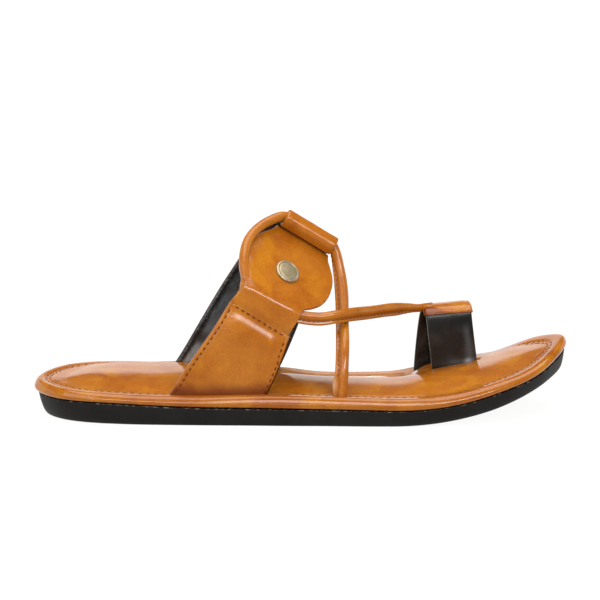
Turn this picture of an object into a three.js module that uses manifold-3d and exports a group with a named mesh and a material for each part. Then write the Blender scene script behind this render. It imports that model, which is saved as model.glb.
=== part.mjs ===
// Toe-loop slipper for the right foot: rubber outsole, padded footbed, two instep straps that one
// rolled strap ties together, a round keeper with a rivet, and a toe loop with a sleeve.
// Millimetres. +X to the toe, +Y to the inner (big toe) side, +Z up, the floor at Z = 0.
import * as THREE from "three";
import Module from "manifold-3d";

const wasm = await Module();
wasm.setup();

// Clearance between pieces that meet, under the footbed, and how deep straps stand in their slots
const GAP = 0.3;
const FOOTBED_SEAT = 0.45;
const SLOT_DEPTH = 3.5;

// Plan of the footbed: a row for each cross-section, with the outer and inner edge
const HEEL_END = { x: -141, y: 0.5 };
const TOE_END = { x: 141.4, y: 8 };
const PLAN = [
  { x: -134, outer: -16.5, inner: 18 },
  { x: -120, outer: -27.5, inner: 28.8 },
  { x: -96, outer: -33.8, inner: 34 },
  { x: -62, outer: -36, inner: 33.5 },
  { x: -28, outer: -38.6, inner: 31.5 },
  { x: 4, outer: -42.8, inner: 32 },
  { x: 32, outer: -47, inner: 36.5 },
  { x: 58, outer: -47.8, inner: 40.8 },
  { x: 82, outer: -45, inner: 42.3 },
  { x: 104, outer: -37.8, inner: 40 },
  { x: 121, outer: -27, inner: 34 },
  { x: 133, outer: -13.5, inner: 24.5 },
];
const PLAN_POINTS = 92;

// Middle line of the sole, from the centre of the heel's round to the centre of the toe's round
const SPINE = [
  { x: -106, y: 0.3 },
  { x: -60, y: -1.3 },
  { x: -25, y: -3.6 },
  { x: 10, y: -5.4 },
  { x: 40, y: -5 },
  { x: 70, y: -2.2 },
  { x: 102, y: 0.8 },
];

// Heights along the sole: outsole thickness on the middle line and its rise per mm to the inner side,
// the footbed's rim and its rise to the inner side, the crown of the pad, how far the pad lies below
// the rim on the inner side, and the share of the wall's inset that is left towards the toe
const HEIGHTS = [
  { x: -141, sole: 13.2, bank: 0.045, rim: 5.8, tilt: 0.02, crown: 1.6, sink: 0, wall: 1 },
  { x: -105, sole: 13.2, bank: 0.045, rim: 6, tilt: 0.036, crown: 2.2, sink: 0, wall: 0.85 },
  { x: -60, sole: 11.6, bank: 0.042, rim: 6, tilt: 0.03, crown: 2.4, sink: 0.4, wall: 0.5 },
  { x: -15, sole: 9.9, bank: -0.004, rim: 6.5, tilt: 0.01, crown: 2.6, sink: 1.8, wall: 0.5 },
  { x: 25, sole: 8.2, bank: -0.03, rim: 6.5, tilt: 0, crown: 2.8, sink: 2.6, wall: 0.8 },
  { x: 52, sole: 7.45, bank: -0.034, rim: 6.6, tilt: 0.004, crown: 2.9, sink: 2.4, wall: 0.82 },
  { x: 68, sole: 7.7, bank: -0.022, rim: 6.5, tilt: 0.006, crown: 4.2, sink: 0.8, wall: 0.82 },
  { x: 82, sole: 8.1, bank: -0.01, rim: 6.3, tilt: 0.006, crown: 4.4, sink: 0, wall: 0.8 },
  { x: 105, sole: 9.1, bank: 0.02, rim: 5.6, tilt: 0.002, crown: 2.6, sink: 0, wall: 0.68 },
  { x: 125, sole: 9.2, bank: 0.068, rim: 5.4, tilt: 0.02, crown: 1.8, sink: 0, wall: 0.55 },
  { x: 141, sole: 9.9, bank: 0.075, rim: 5.2, tilt: 0.03, crown: 1.5, sink: 0, wall: 0.45 },
];
const TOE_SPRING = { start: 48, radius: 205 };

// Side wall of the outsole: inset from the plan and share of the thickness
const SOLE_WALL = [
  { inset: 8.6, rise: 0 },
  { inset: 7, rise: 0.05 },
  { inset: 5.4, rise: 0.2 },
  { inset: 4, rise: 0.46 },
  { inset: 2.9, rise: 0.76 },
  { inset: 2.2, rise: 1 },
];

// Edge of the footbed, from its underside round the rolled rim and down into the stitched groove
const FOOTBED_EDGE = [
  { inset: 2.8, rise: 0 },
  { inset: 1, rise: 0.1 },
  { inset: 0, rise: 0.42 },
  { inset: 0.5, rise: 0.72 },
  { inset: 1.9, rise: 0.94 },
  { inset: 3.8, rise: 1 },
  { inset: 5.5, rise: 0.95 },
  { inset: 7, rise: 0.89 },
  { inset: 9, rise: 0.91 },
  { inset: 12, rise: 0.94 },
];
const EDGE_UNDERSIDE_ROWS = 2;
const RIM_CREST = FOOTBED_EDGE[5];
const PAD_FOOT = FOOTBED_EDGE[FOOTBED_EDGE.length - 1];
const PAD_RINGS = [0.82, 0.64, 0.45, 0.26, 0.1];
const PAD_ROUNDNESS = 2.2;
const SINK_REACH = 24;
const INNER_RING = 0.3;

// Block that ends the straps in their slots: it reaches past the plan and below the floor
const BLOCK_INSET = -6;
const BLOCK_FLOOR = -40;

// Instep frame: "along" runs forward and down the instep, "up" leans forward with the straps
const INSTEP = { x: -46, z: 16, lean: THREE.MathUtils.degToRad(32) };

// Cord axes in the instep frame: in the lower tunnel of the outer strap and in the roll on top
const TUNNEL = { y: -27, up: 57 };
const ROLL = { y: 5, up: 94.7, rear: -14.5, front: 16.4, radius: 4.8 };
const ROLL_SIDES = 24;

// Outer strap: a row for each station from the footbed up to the stitched line under the tunnel
const LATERAL = [
  { up: -24, y: -26.5, rear: -25, front: 26.4 },
  { up: -13, y: -28.2, rear: -23.7, front: 25.4 },
  { up: 0, y: -30.2, rear: -22.4, front: 24.6 },
  { up: 14, y: -31.8, rear: -21.2, front: 23.8 },
  { up: 30, y: -32.3, rear: -20.2, front: 21.4 },
  { up: 46.3, y: -30.6, rear: -19.6, front: 17.8 },
];
const LATERAL_STATIONS = 12;
const STRAP_HALF = 1.4;
const SLOPE_STEP = 0.5;
const LAYER = 1;
const LAYER_END = 5;
const SEAM_STEP = 0.2;

// Inner strap: a row for each station from the footbed up to the roll
const MEDIAL = [
  { up: -20, y: 27.6, rear: -19.5, front: 31 },
  { up: 0, y: 27, rear: -19.2, front: 30.5 },
  { up: 22, y: 26.2, rear: -20, front: 29.5 },
  { up: 40, y: 27, rear: -20.4, front: 27 },
  { up: 57, y: 26, rear: -20.4, front: 23.5 },
  { up: 70, y: 23.5, rear: -20.6, front: 20 },
  { up: 82, y: 18.2, rear: -20, front: 17.5 },
  { up: 89.5, y: 12, rear: -17.8, front: 16 },
  { up: 92.2, y: 8.6, rear: -15.6, front: 15.6 },
];
const MEDIAL_STATIONS = 22;

// Keeper: a tab over the tunnel, then a round disc that ends under the roll
const KEEPER_HALF = 0.8;
const KEEPER_TAB = { rear: -19.2, front: 16 };
const KEEPER_NECK = { rear: -15.2, front: 17 };
const KEEPER_DISC = { along: 0.8, radius: 24.7, centre: 22.3, end: 45.7 };
const KEEPER_BEND_STATIONS = 6;
const KEEPER_DISC_STATIONS = 22;
const STRIP_POINTS = 7;

// Rivet: profile of the cap from its axis outwards
const RIVET_SEAT = 0.1;
const RIVET_PLACE = { along: -0.7, length: 19.9 };
const RIVET_PROFILE = [
  { radius: 0, height: 0 },
  { radius: 6.6, height: 0 },
  { radius: 6.7, height: 0.7 },
  { radius: 6.1, height: 1.5 },
  { radius: 5, height: 1.7 },
  { radius: 3.2, height: 2 },
  { radius: 0, height: 2.1 },
];
const RIVET_SIDES = 28;
const RIVET_POLE = 0.02;

// Rolled strap: radius and route. The route is split where it lies straight in the roll and tunnel.
const CORD_RADIUS = 2.7;
const CORD_SIDES = 10;
const CORD_STEPS = 112;
const CORD_TURN = 2;
const STRAIGHT_SHARES = [0, 0.3, 0.7, 1];
const CORD_FROM_SOLE = [
  { x: 18.6, y: -38.4, z: 10.8 },
  { x: 19.2, y: -38.2, z: 18 },
  { x: 20.2, y: -35.8, z: 29.5 },
  { x: 21, y: -28.6, z: 41.5 },
  { x: 21.6, y: -13.9, z: 53.6 },
  { x: 21.6, y: -6.2, z: 64.8 },
  { x: 20.2, y: -0.2, z: 76 },
];
const CORD_ROUND_DISC = [
  { along: -21, across: 42.4 },
  { along: -25.1, across: 32.5 },
  { along: -26.4, across: 23 },
  { along: -25.4, across: 12 },
  { along: -22.4, across: 4 },
];
const CORD_TO_TOE = [
  { x: 8.4, y: -26.4, z: 55.6 },
  { x: 17.2, y: -24, z: 56.2 },
  { x: 25.7, y: -18.6, z: 56.2 },
  { x: 36.3, y: -8.4, z: 55.1 },
  { x: 47.5, y: 2.6, z: 54.1 },
  { x: 58.2, y: 12.5, z: 52.4 },
  { x: 63.1, y: 16.8, z: 51.1 },
];

// Toe loop: middle line from the slot in the pad, over the big toe, to the slot in the inner groove
const TOE_LOOP = [
  { x: 83, y: 13.6, z: 12.8 },
  { x: 81.9, y: 12.6, z: 25 },
  { x: 80.4, y: 11.9, z: 36 },
  { x: 79.3, y: 12.2, z: 44.2 },
  { x: 78.7, y: 16.5, z: 49.6 },
  { x: 78, y: 22.5, z: 51.4 },
  { x: 77.4, y: 29, z: 49.4 },
  { x: 76.6, y: 33.2, z: 43.4 },
  { x: 75.2, y: 35, z: 33 },
  { x: 73.9, y: 35.4, z: 22 },
  { x: 72.8, y: 34.9, z: 8 },
];
const LOOP_STATIONS = 30;
const LOOP_WIDTH = 23.6;
const LOOP_HALF = 1;
const LOOP_TILT = THREE.MathUtils.degToRad(5);
const SLEEVE = { from: 0.37, to: 0.62, stations: 12, wall: 1.3, overhang: 1.7 };

const COLOURS = { rubber: 0x262423, tan: 0xc27a2a, black: 0x1d1b1a, brass: 0x9a8862 };

// Smooth value of one column at a place between the rows of a table
function smooth(rows, by, column, place) {
  const last = rows.length - 1;
  if (place <= rows[0][by]) return rows[0][column];
  if (place >= rows[last][by]) return rows[last][column];
  let row = 0;
  while (rows[row + 1][by] < place) row += 1;
  const slope = (index) => {
    const before = rows[Math.max(index - 1, 0)];
    const after = rows[Math.min(index + 1, last)];
    return (after[column] - before[column]) / (after[by] - before[by]);
  };
  const span = rows[row + 1][by] - rows[row][by];
  const t = (place - rows[row][by]) / span;
  const rise = rows[row + 1][column] - rows[row][column];
  const start = slope(row) * span;
  const finish = slope(row + 1) * span;
  const bend = start - rise;
  const turn = rise - finish;
  return rows[row][column] + t * rise + t * (1 - t) * ((1 - t) * bend + t * turn);
}

// Closed solid through rings of points, with both end rings filled
function loft(rings) {
  const size = rings[0].length;
  const triangles = [];
  const quad = (a, b, c, d) => triangles.push([a, b, c], [a, c, d]);
  const fill = (first, flip) => {
    for (let i = 0; i < size / 2 - 1; i += 1) {
      const corners = [first + i, first + i + 1, first + size - 2 - i, first + size - 1 - i];
      if (flip) corners.reverse();
      quad(...corners);
    }
  };
  for (let row = 0; row < rings.length - 1; row += 1) {
    for (let i = 0; i < size; i += 1) {
      const next = (i + 1) % size;
      quad(row * size + i, row * size + next, (row + 1) * size + next, (row + 1) * size + i);
    }
  }
  fill(0, true);
  fill((rings.length - 1) * size, false);
  const points = rings.flat();
  const volume = triangles.reduce((sum, [a, b, c]) => {
    const normal = new THREE.Vector3().crossVectors(points[b], points[c]);
    return sum + points[a].dot(normal);
  }, 0);
  if (volume < 0) triangles.forEach((triangle) => triangle.reverse());
  return new wasm.Manifold(new wasm.Mesh({
    numProp: 3,
    vertProperties: new Float32Array(points.flatMap((point) => point.toArray())),
    triVerts: new Uint32Array(triangles.flat()),
  }));
}

// Plan outline and, for each of its points, the point of the spine that it closes on
const outline = new THREE.CatmullRomCurve3([
  new THREE.Vector3(HEEL_END.x, HEEL_END.y, 0),
  ...PLAN.map((row) => new THREE.Vector3(row.x, row.inner, 0)),
  new THREE.Vector3(TOE_END.x, TOE_END.y, 0),
  ...[...PLAN].reverse().map((row) => new THREE.Vector3(row.x, row.outer, 0)),
], true, "centripetal");
const planPoints = Array.from({ length: PLAN_POINTS }, (_, i) => (
  outline.getPoint((i + 0.5) / PLAN_POINTS)));
const spineX = (x) => THREE.MathUtils.clamp(x, SPINE[0].x, SPINE[SPINE.length - 1].x);
const spineY = (x) => smooth(SPINE, "x", "y", x);
const planCentres = planPoints.map((point) => {
  const x = spineX(point.x);
  return new THREE.Vector3(x, spineY(x), 0);
});

// Ring of plan points moved inwards by a length, then drawn to the spine by a share. The length may
// be scaled along the sole.
function planRing(inset, share, height, scale = () => 1) {
  return planPoints.map((point, i) => {
    const centre = planCentres[i];
    const inward = centre.clone().sub(point).normalize().multiplyScalar(inset * scale(point.x));
    const place = point.clone().add(inward).sub(centre).multiplyScalar(share).add(centre);
    place.z = height(place.x, place.y);
    return place;
  });
}

// Heights of the underside, the outsole's top and the footbed
function toeSpring(x) {
  const run = Math.max(x - TOE_SPRING.start, 0);
  return TOE_SPRING.radius - Math.sqrt(TOE_SPRING.radius ** 2 - run ** 2);
}
const heightOf = (column, x) => smooth(HEIGHTS, "x", column, x);
const fromSpine = (x, y) => y - spineY(spineX(x));
const soleThickness = (x, y) => heightOf("sole", x) + heightOf("bank", x) * fromSpine(x, y);
const soleTop = (x, y) => toeSpring(x) + soleThickness(x, y);
const rimHeight = (x, y) => heightOf("rim", x) + heightOf("tilt", x) * fromSpine(x, y);
const footbedAt = (rise) => (x, y) => soleTop(x, y) + FOOTBED_SEAT + rise * rimHeight(x, y);
const sunk = (x, y) => (
  heightOf("sink", x) * THREE.MathUtils.smoothstep(fromSpine(x, y), 0, SINK_REACH));
const insideAt = (rise) => (x, y) => footbedAt(rise)(x, y) - sunk(x, y);
const padAt = (share) => (x, y) => (
  insideAt(PAD_FOOT.rise)(x, y) + heightOf("crown", x) * (1 - share ** PAD_ROUNDNESS));

function makeOutsole() {
  const foot = SOLE_WALL[0];
  const top = SOLE_WALL[SOLE_WALL.length - 1];
  const wallHeight = (rise) => (x, y) => toeSpring(x) + rise * soleThickness(x, y);
  const wallScale = (x) => heightOf("wall", x);
  return loft([
    planRing(foot.inset, INNER_RING, toeSpring, wallScale),
    ...SOLE_WALL.map(({ inset, rise }) => planRing(inset, 1, wallHeight(rise), wallScale)),
    planRing(top.inset, INNER_RING, soleTop, wallScale),
  ]);
}

// Rings of the footbed's rim, groove and pad, lowered by a drop
function footbedRings(firstRow, drop) {
  const rows = FOOTBED_EDGE.slice(firstRow);
  const lowered = (height) => (x, y) => height(x, y) - drop;
  return [
    ...rows.map(({ inset, rise }) => {
      const height = inset > RIM_CREST.inset ? insideAt(rise) : footbedAt(rise);
      return planRing(inset, 1, lowered(height));
    }),
    ...PAD_RINGS.map((share) => planRing(PAD_FOOT.inset, share, lowered(padAt(share)))),
  ];
}

function makeFootbed() {
  return loft([planRing(FOOTBED_EDGE[0].inset, INNER_RING, footbedAt(0)), ...footbedRings(0, 0)]);
}

// Everything lower than the footbed's top by more than a drop, used to end what stands in the slots
function belowFootbed(drop) {
  const deep = () => BLOCK_FLOOR;
  const edge = footbedAt(FOOTBED_EDGE[EDGE_UNDERSIDE_ROWS].rise);
  return loft([
    planRing(BLOCK_INSET, INNER_RING, deep),
    planRing(BLOCK_INSET, 1, deep),
    planRing(BLOCK_INSET, 1, (x, y) => edge(x, y) - drop),
    ...footbedRings(EDGE_UNDERSIDE_ROWS, drop),
  ]);
}

// Point of the instep frame in the slipper's frame
function instep(along, y, up) {
  const sin = Math.sin(INSTEP.lean);
  const cos = Math.cos(INSTEP.lean);
  return new THREE.Vector3(INSTEP.x + up * sin + along * cos, y, INSTEP.z + up * cos - along * sin);
}

// Solid strip along a path in the instep frame. Each station has a place and its outward normal,
// the depth inside and outside the path, and how far it reaches to the rear and to the front.
function strip(stations, grow = 0) {
  return loft(stations.map(({ y, up, normalY, normalUp, inside, outside, rear, front }) => {
    const face = (offset) => Array.from({ length: STRIP_POINTS }, (_, i) => {
      const along = THREE.MathUtils.lerp(rear - grow, front + grow, i / (STRIP_POINTS - 1));
      return instep(along, y + normalY * offset, up + normalUp * offset);
    });
    return [...face(-inside - grow), ...face(outside + grow).reverse()];
  }));
}

// Stations of a strap at even steps of height between the ends of its table
function strapStations(rows, count, side) {
  const step = SLOPE_STEP;
  const low = rows[0].up;
  const high = rows[rows.length - 1].up;
  return Array.from({ length: count }, (_, i) => {
    const up = THREE.MathUtils.lerp(low, high, i / (count - 1));
    const before = smooth(rows, "up", "y", up - step);
    const after = smooth(rows, "up", "y", up + step);
    const run = Math.min(up + step, high) - Math.max(up - step, low);
    const length = Math.hypot(after - before, run);
    return {
      up,
      y: smooth(rows, "up", "y", up),
      normalY: (side * run) / length,
      normalUp: (-side * (after - before)) / length,
      inside: STRAP_HALF,
      outside: STRAP_HALF,
      rear: smooth(rows, "up", "rear", up),
      front: smooth(rows, "up", "front", up),
    };
  });
}

// Line that leaves a point and touches a circle, on the outer (-1) or inner (1) side of it
function touchCircle(point, circle, radius, side) {
  const towards = Math.atan2(circle.up - point.up, circle.y - point.y);
  const distance = Math.hypot(circle.up - point.up, circle.y - point.y);
  const heading = towards - side * Math.asin(radius / distance);
  return { heading, length: Math.sqrt(distance ** 2 - radius ** 2) };
}
const ahead = (point, heading, length) => ({
  y: point.y + Math.cos(heading) * length,
  up: point.up + Math.sin(heading) * length,
});
const outwardNormal = (heading) => ({ normalY: -Math.sin(heading), normalUp: Math.cos(heading) });

// Outer strap: full thickness up to the stitched line, then one layer that passes inside the cord
function lateralStations() {
  const stations = strapStations(LATERAL, LATERAL_STATIONS, -1);
  const seam = stations[stations.length - 1];
  const inset = STRAP_HALF - LAYER / 2;
  const start = { y: seam.y - seam.normalY * inset, up: seam.up - seam.normalUp * inset };
  const line = touchCircle(start, TUNNEL, CORD_RADIUS + GAP + LAYER / 2, 1);
  const layer = {
    ...outwardNormal(line.heading),
    inside: LAYER / 2,
    outside: LAYER / 2,
    rear: seam.rear,
    front: KEEPER_TAB.front,
  };
  const reach = [SEAM_STEP, line.length / 2, line.length + LAYER_END];
  return [...stations, ...reach.map((length) => ({ ...layer, ...ahead(start, line.heading, length) }))];
}

// Path of the keeper: tab from the stitched line, bend over the tunnel, straight disc under the roll
function keeperPath() {
  const seam = strapStations(LATERAL, LATERAL_STATIONS, -1).pop();
  const lift = STRAP_HALF - KEEPER_HALF;
  const start = { y: seam.y + seam.normalY * lift, up: seam.up + seam.normalUp * lift + SEAM_STEP + GAP };
  const bend = CORD_RADIUS + GAP + KEEPER_HALF;
  const under = ROLL.radius + GAP + KEEPER_HALF;
  const climb = touchCircle(start, TUNNEL, bend, -1);
  const apart = Math.hypot(ROLL.y - TUNNEL.y, ROLL.up - TUNNEL.up);
  const ring = Math.atan2(ROLL.up - TUNNEL.up, ROLL.y - TUNNEL.y);
  const discHeading = ring - Math.asin((bend + under) / apart);
  return { start, climb, bend, discHeading };
}

const onBend = (path, heading) => {
  const normal = outwardNormal(heading);
  return { y: TUNNEL.y + normal.normalY * path.bend, up: TUNNEL.up + normal.normalUp * path.bend, ...normal };
};

// How far the keeper reaches to the rear and front at a length along its disc
function keeperReach(length) {
  const off = length - KEEPER_DISC.centre;
  const half = Math.sqrt(Math.max(KEEPER_DISC.radius ** 2 - off ** 2, 0));
  const neck = off < 0 ? KEEPER_TAB : KEEPER_NECK;
  return {
    rear: Math.min(KEEPER_DISC.along - half, neck.rear),
    front: Math.max(KEEPER_DISC.along + half, neck.front),
  };
}

function keeperStations() {
  const path = keeperPath();
  const depth = { inside: KEEPER_HALF, outside: KEEPER_HALF };
  const tab = [0, path.climb.length / 2].map((length) => ({
    ...ahead(path.start, path.climb.heading, length),
    ...outwardNormal(path.climb.heading),
    ...depth,
    ...KEEPER_TAB,
  }));
  const bend = Array.from({ length: KEEPER_BEND_STATIONS }, (_, i) => {
    const share = i / (KEEPER_BEND_STATIONS - 1);
    const heading = THREE.MathUtils.lerp(path.climb.heading, path.discHeading, share);
    return { ...onBend(path, heading), ...depth, ...KEEPER_TAB };
  });
  const discStart = onBend(path, path.discHeading);
  const disc = Array.from({ length: KEEPER_DISC_STATIONS }, (_, i) => {
    const length = (KEEPER_DISC.end * (i + 1)) / KEEPER_DISC_STATIONS;
    return { ...discStart, ...ahead(discStart, path.discHeading, length), ...depth, ...keeperReach(length) };
  });
  return [...tab, ...bend, ...disc];
}

// Round rod along the instep's "along" direction
function rodAlong(axis, radius, rear, front, sides) {
  const ring = (along) => Array.from({ length: sides }, (_, i) => {
    const angle = ((i + 0.5) * 2 * Math.PI) / sides;
    return instep(along, axis.y + radius * Math.cos(angle), axis.up + radius * Math.sin(angle));
  });
  return loft([ring(rear), ring(front)]);
}

function makeMedialStrap() {
  const strap = strip(medial).subtract(slotFloor);
  const roll = rodAlong(ROLL, ROLL.radius, ROLL.rear, ROLL.front, ROLL_SIDES);
  return strap.add(roll).subtract(cordSlot);
}

function makeRivet() {
  const path = keeperPath();
  const { y, up } = ahead(onBend(path, path.discHeading), path.discHeading, RIVET_PLACE.length);
  const { normalY, normalUp } = outwardNormal(path.discHeading);
  const seat = KEEPER_HALF + RIVET_SEAT;
  const base = instep(RIVET_PLACE.along, y + normalY * seat, up + normalUp * seat);
  const axis = instep(0, normalY, normalUp).sub(instep(0, 0, 0));
  const sideways = instep(1, 0, 0).sub(instep(0, 0, 0));
  const upward = new THREE.Vector3().crossVectors(axis, sideways);
  return loft(RIVET_PROFILE.map(({ radius, height }) => Array.from({ length: RIVET_SIDES }, (_, i) => {
    const angle = ((i + 0.5) * 2 * Math.PI) / RIVET_SIDES;
    const reach = Math.max(radius, RIVET_POLE);
    return base.clone()
      .addScaledVector(axis, height)
      .addScaledVector(sideways, reach * Math.cos(angle))
      .addScaledVector(upward, reach * Math.sin(angle));
  })));
}

// Whole route of the rolled strap as one smooth curve
function cordRoute() {
  const point = ({ x, y, z }) => new THREE.Vector3(x, y, z);
  const apart = Math.hypot(ROLL.y - TUNNEL.y, ROLL.up - TUNNEL.up);
  const onRing = ({ along, across }) => instep(
    along,
    THREE.MathUtils.lerp(TUNNEL.y, ROLL.y, across / apart),
    THREE.MathUtils.lerp(TUNNEL.up, ROLL.up, across / apart),
  );
  const straight = (axis, from, to) => STRAIGHT_SHARES.map((share) => (
    instep(THREE.MathUtils.lerp(from, to, share), axis.y, axis.up)));
  return new THREE.CatmullRomCurve3([
    ...CORD_FROM_SOLE.map(point),
    ...straight(ROLL, ROLL.front - CORD_TURN, ROLL.rear),
    ...CORD_ROUND_DISC.map(onRing),
    ...straight(TUNNEL, KEEPER_TAB.rear + CORD_TURN, KEEPER_TAB.front - CORD_TURN),
    ...CORD_TO_TOE.map(point),
  ], false, "centripetal");
}

function sweepRound(curve, radius, steps, sides) {
  const frames = curve.computeFrenetFrames(steps, false);
  return loft(Array.from({ length: steps + 1 }, (_, step) => {
    const centre = curve.getPointAt(step / steps);
    return Array.from({ length: sides }, (_unused, i) => {
      const angle = ((i + 0.5) * 2 * Math.PI) / sides;
      return centre.clone()
        .addScaledVector(frames.normals[step], radius * Math.cos(angle))
        .addScaledVector(frames.binormals[step], radius * Math.sin(angle));
    });
  }));
}

// Band along the toe loop's middle line between two shares of its length
function loopBand(from, to, stations, rear, front, half) {
  const curve = new THREE.CatmullRomCurve3(TOE_LOOP.map(({ x, y, z }) => new THREE.Vector3(x, y, z)));
  const across = new THREE.Vector3(Math.cos(LOOP_TILT), 0, Math.sin(LOOP_TILT));
  return loft(Array.from({ length: stations }, (_, i) => {
    const share = THREE.MathUtils.lerp(from, to, i / (stations - 1));
    const centre = curve.getPointAt(share);
    const normal = new THREE.Vector3().crossVectors(across, curve.getTangentAt(share)).normalize();
    const corner = (reach, offset) => (
      centre.clone().addScaledVector(across, reach).addScaledVector(normal, offset));
    return [corner(rear, -half), corner(front, -half), corner(front, half), corner(rear, half)];
  }));
}
function toeBand(grow) {
  const reach = LOOP_WIDTH / 2 + grow;
  return loopBand(0, 1, LOOP_STATIONS, -reach, reach, LOOP_HALF + grow);
}

function makeToeSleeve() {
  const reach = LOOP_WIDTH / 2 + SLEEVE.overhang;
  const half = LOOP_HALF + GAP + SLEEVE.wall;
  return loopBand(SLEEVE.from, SLEEVE.to, SLEEVE.stations, -reach, reach, half).subtract(toeBand(GAP));
}

// What stands in the footbed, and the slots for it
const cord = cordRoute();
const slotFloor = belowFootbed(SLOT_DEPTH);
const slotBottom = belowFootbed(SLOT_DEPTH + GAP);
const lateral = lateralStations();
const medial = strapStations(MEDIAL, MEDIAL_STATIONS, 1);
const cordSlot = sweepRound(cord, CORD_RADIUS + GAP, CORD_STEPS, CORD_SIDES);
const standing = [strip(lateral, GAP), strip(medial, GAP), toeBand(GAP), cordSlot];
const footbed = standing.reduce((body, shape) => body.subtract(shape.subtract(slotBottom)), makeFootbed());

const SOLIDS = [
  ["outsole", makeOutsole(), COLOURS.rubber],
  ["footbed", footbed, COLOURS.tan],
  ["strap_lateral", strip(lateral).subtract(slotFloor).subtract(cordSlot), COLOURS.tan],
  ["strap_medial", makeMedialStrap(), COLOURS.tan],
  ["keeper_disc", strip(keeperStations()).subtract(cordSlot), COLOURS.tan],
  ["rivet", makeRivet(), COLOURS.brass],
  ["rolled_strap", sweepRound(cord, CORD_RADIUS, CORD_STEPS, CORD_SIDES).subtract(slotFloor), COLOURS.tan],
  ["toe_loop", toeBand(0).subtract(slotFloor), COLOURS.black],
  ["toe_sleeve", makeToeSleeve(), COLOURS.tan],
];

const slipper = new THREE.Group();
SOLIDS.forEach(([name, solid, colour]) => {
  const { vertProperties, triVerts } = solid.getMesh();
  const geometry = new THREE.BufferGeometry();
  geometry.setAttribute("position", new THREE.BufferAttribute(new Float32Array(vertProperties), 3));
  geometry.setIndex([...triVerts]);
  const mesh = new THREE.Mesh(geometry, new THREE.MeshStandardMaterial({ color: colour }));
  mesh.name = name;
  slipper.add(mesh);
});

export default slipper;
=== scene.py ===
import math

import bpy
import numpy as np
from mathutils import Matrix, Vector


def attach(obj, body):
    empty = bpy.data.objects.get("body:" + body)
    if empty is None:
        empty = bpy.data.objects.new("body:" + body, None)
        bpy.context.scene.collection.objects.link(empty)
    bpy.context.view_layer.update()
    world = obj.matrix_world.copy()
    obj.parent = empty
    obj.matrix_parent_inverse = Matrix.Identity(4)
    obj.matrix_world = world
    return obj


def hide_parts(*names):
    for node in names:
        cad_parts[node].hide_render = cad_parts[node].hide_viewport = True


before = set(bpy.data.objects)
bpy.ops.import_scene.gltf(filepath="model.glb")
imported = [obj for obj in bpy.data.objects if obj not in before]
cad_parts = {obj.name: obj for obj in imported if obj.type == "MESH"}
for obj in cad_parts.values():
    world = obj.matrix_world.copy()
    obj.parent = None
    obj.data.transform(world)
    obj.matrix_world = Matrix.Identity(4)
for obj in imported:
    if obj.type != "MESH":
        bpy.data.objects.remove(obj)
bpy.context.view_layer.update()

# Lengths are in millimetres up to the point where a mesh is made.
# +X to the toe, +Y to the inner side, +Z up, the floor at Z = 0.
# A pair for fade() holds the value that gives 0 and the one that gives 1, a pair for hump() its middle
# and width, and a pair for ripple() its height and length.
MM = 0.001
BODY = "root"
TURN = 2 * math.pi


def table(columns, rows):
    """Columns of a table as arrays, by name."""
    return dict(zip(columns.split(), np.array(rows, float).T))


# Plan of the footbed, the middle line of the sole, and along it the thickness and slope of the sole, the
# height and slope of the rim, the pad's crown and its sink on the inner side, and the lean of the wall.
# Ripples are waves as their two slopes, their start and their share
HEEL_END = (-141, 0.5)
TOE_END = (141.4, 8)
PLAN = table("x outer inner", [
    (-134, -16.5, 18), (-120, -27.5, 28.8), (-96, -33.8, 34), (-62, -36, 33.5),
    (-28, -38.6, 31.5), (4, -42.8, 32), (32, -47, 36.5), (58, -47.8, 40.8),
    (82, -45, 42.3), (104, -37.8, 40), (121, -27, 34), (133, -13.5, 24.5),
])
SPINE = table("x y", [
    (-106, 0.3), (-60, -1.3), (-25, -3.6), (10, -5.4), (40, -5), (70, -2.2), (102, 0.8),
])
HEIGHTS = table("x sole bank rim tilt crown sink wall", [
    (-141, 12.4, 0.045, 6.6, 0.02, 1.6, 0, 1), (-105, 13.2, 0.045, 6, 0.036, 2.2, 0, 0.85),
    (-60, 11.2, 0.042, 6.4, 0.03, 2.4, 0.4, 0.5), (-15, 9.2, -0.004, 7.2, 0.01, 2.6, 2.7, 0.5),
    (25, 8.2, -0.03, 6.5, 0, 2.8, 4.2, 0.8), (52, 7.45, -0.034, 6.6, 0.004, 2.9, 3.8, 0.82),
    (68, 7.7, -0.022, 6.5, 0.006, 4.2, 0.8, 0.82), (82, 8.1, -0.01, 6.3, 0.006, 4.4, 0, 0.8),
    (105, 9.1, 0.02, 5.6, 0.002, 2.6, 0, 0.68), (125, 8.9, 0.068, 5.7, 0.02, 1.8, 0, 0.55),
    (141, 8.7, 0.075, 6.4, 0.03, 1.5, 0, 0.45),
])
PAD_FULL = table("x share", [
    (-141, 1.1), (-60, 1.3), (-15, 1.35), (25, 1.5), (52, 1.4), (76, 1), (105, 1.3), (141, 1.3),
])
TOE_SPRING_START, TOE_SPRING_RADIUS = 48, 205
FOOTBED_SEAT = 0.45
INNER_RING = 0.3
SPLINE_STEPS, SPLINE_LEAST = 24, 1e-4
RIPPLES = [(0.9, 0.45, 0.7, 1), (-0.52, 1.1, 2.1, 1), (0.33, -0.71, 4.4, 1), (1.7, 1.3, 1.2, 0.6)]

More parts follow.
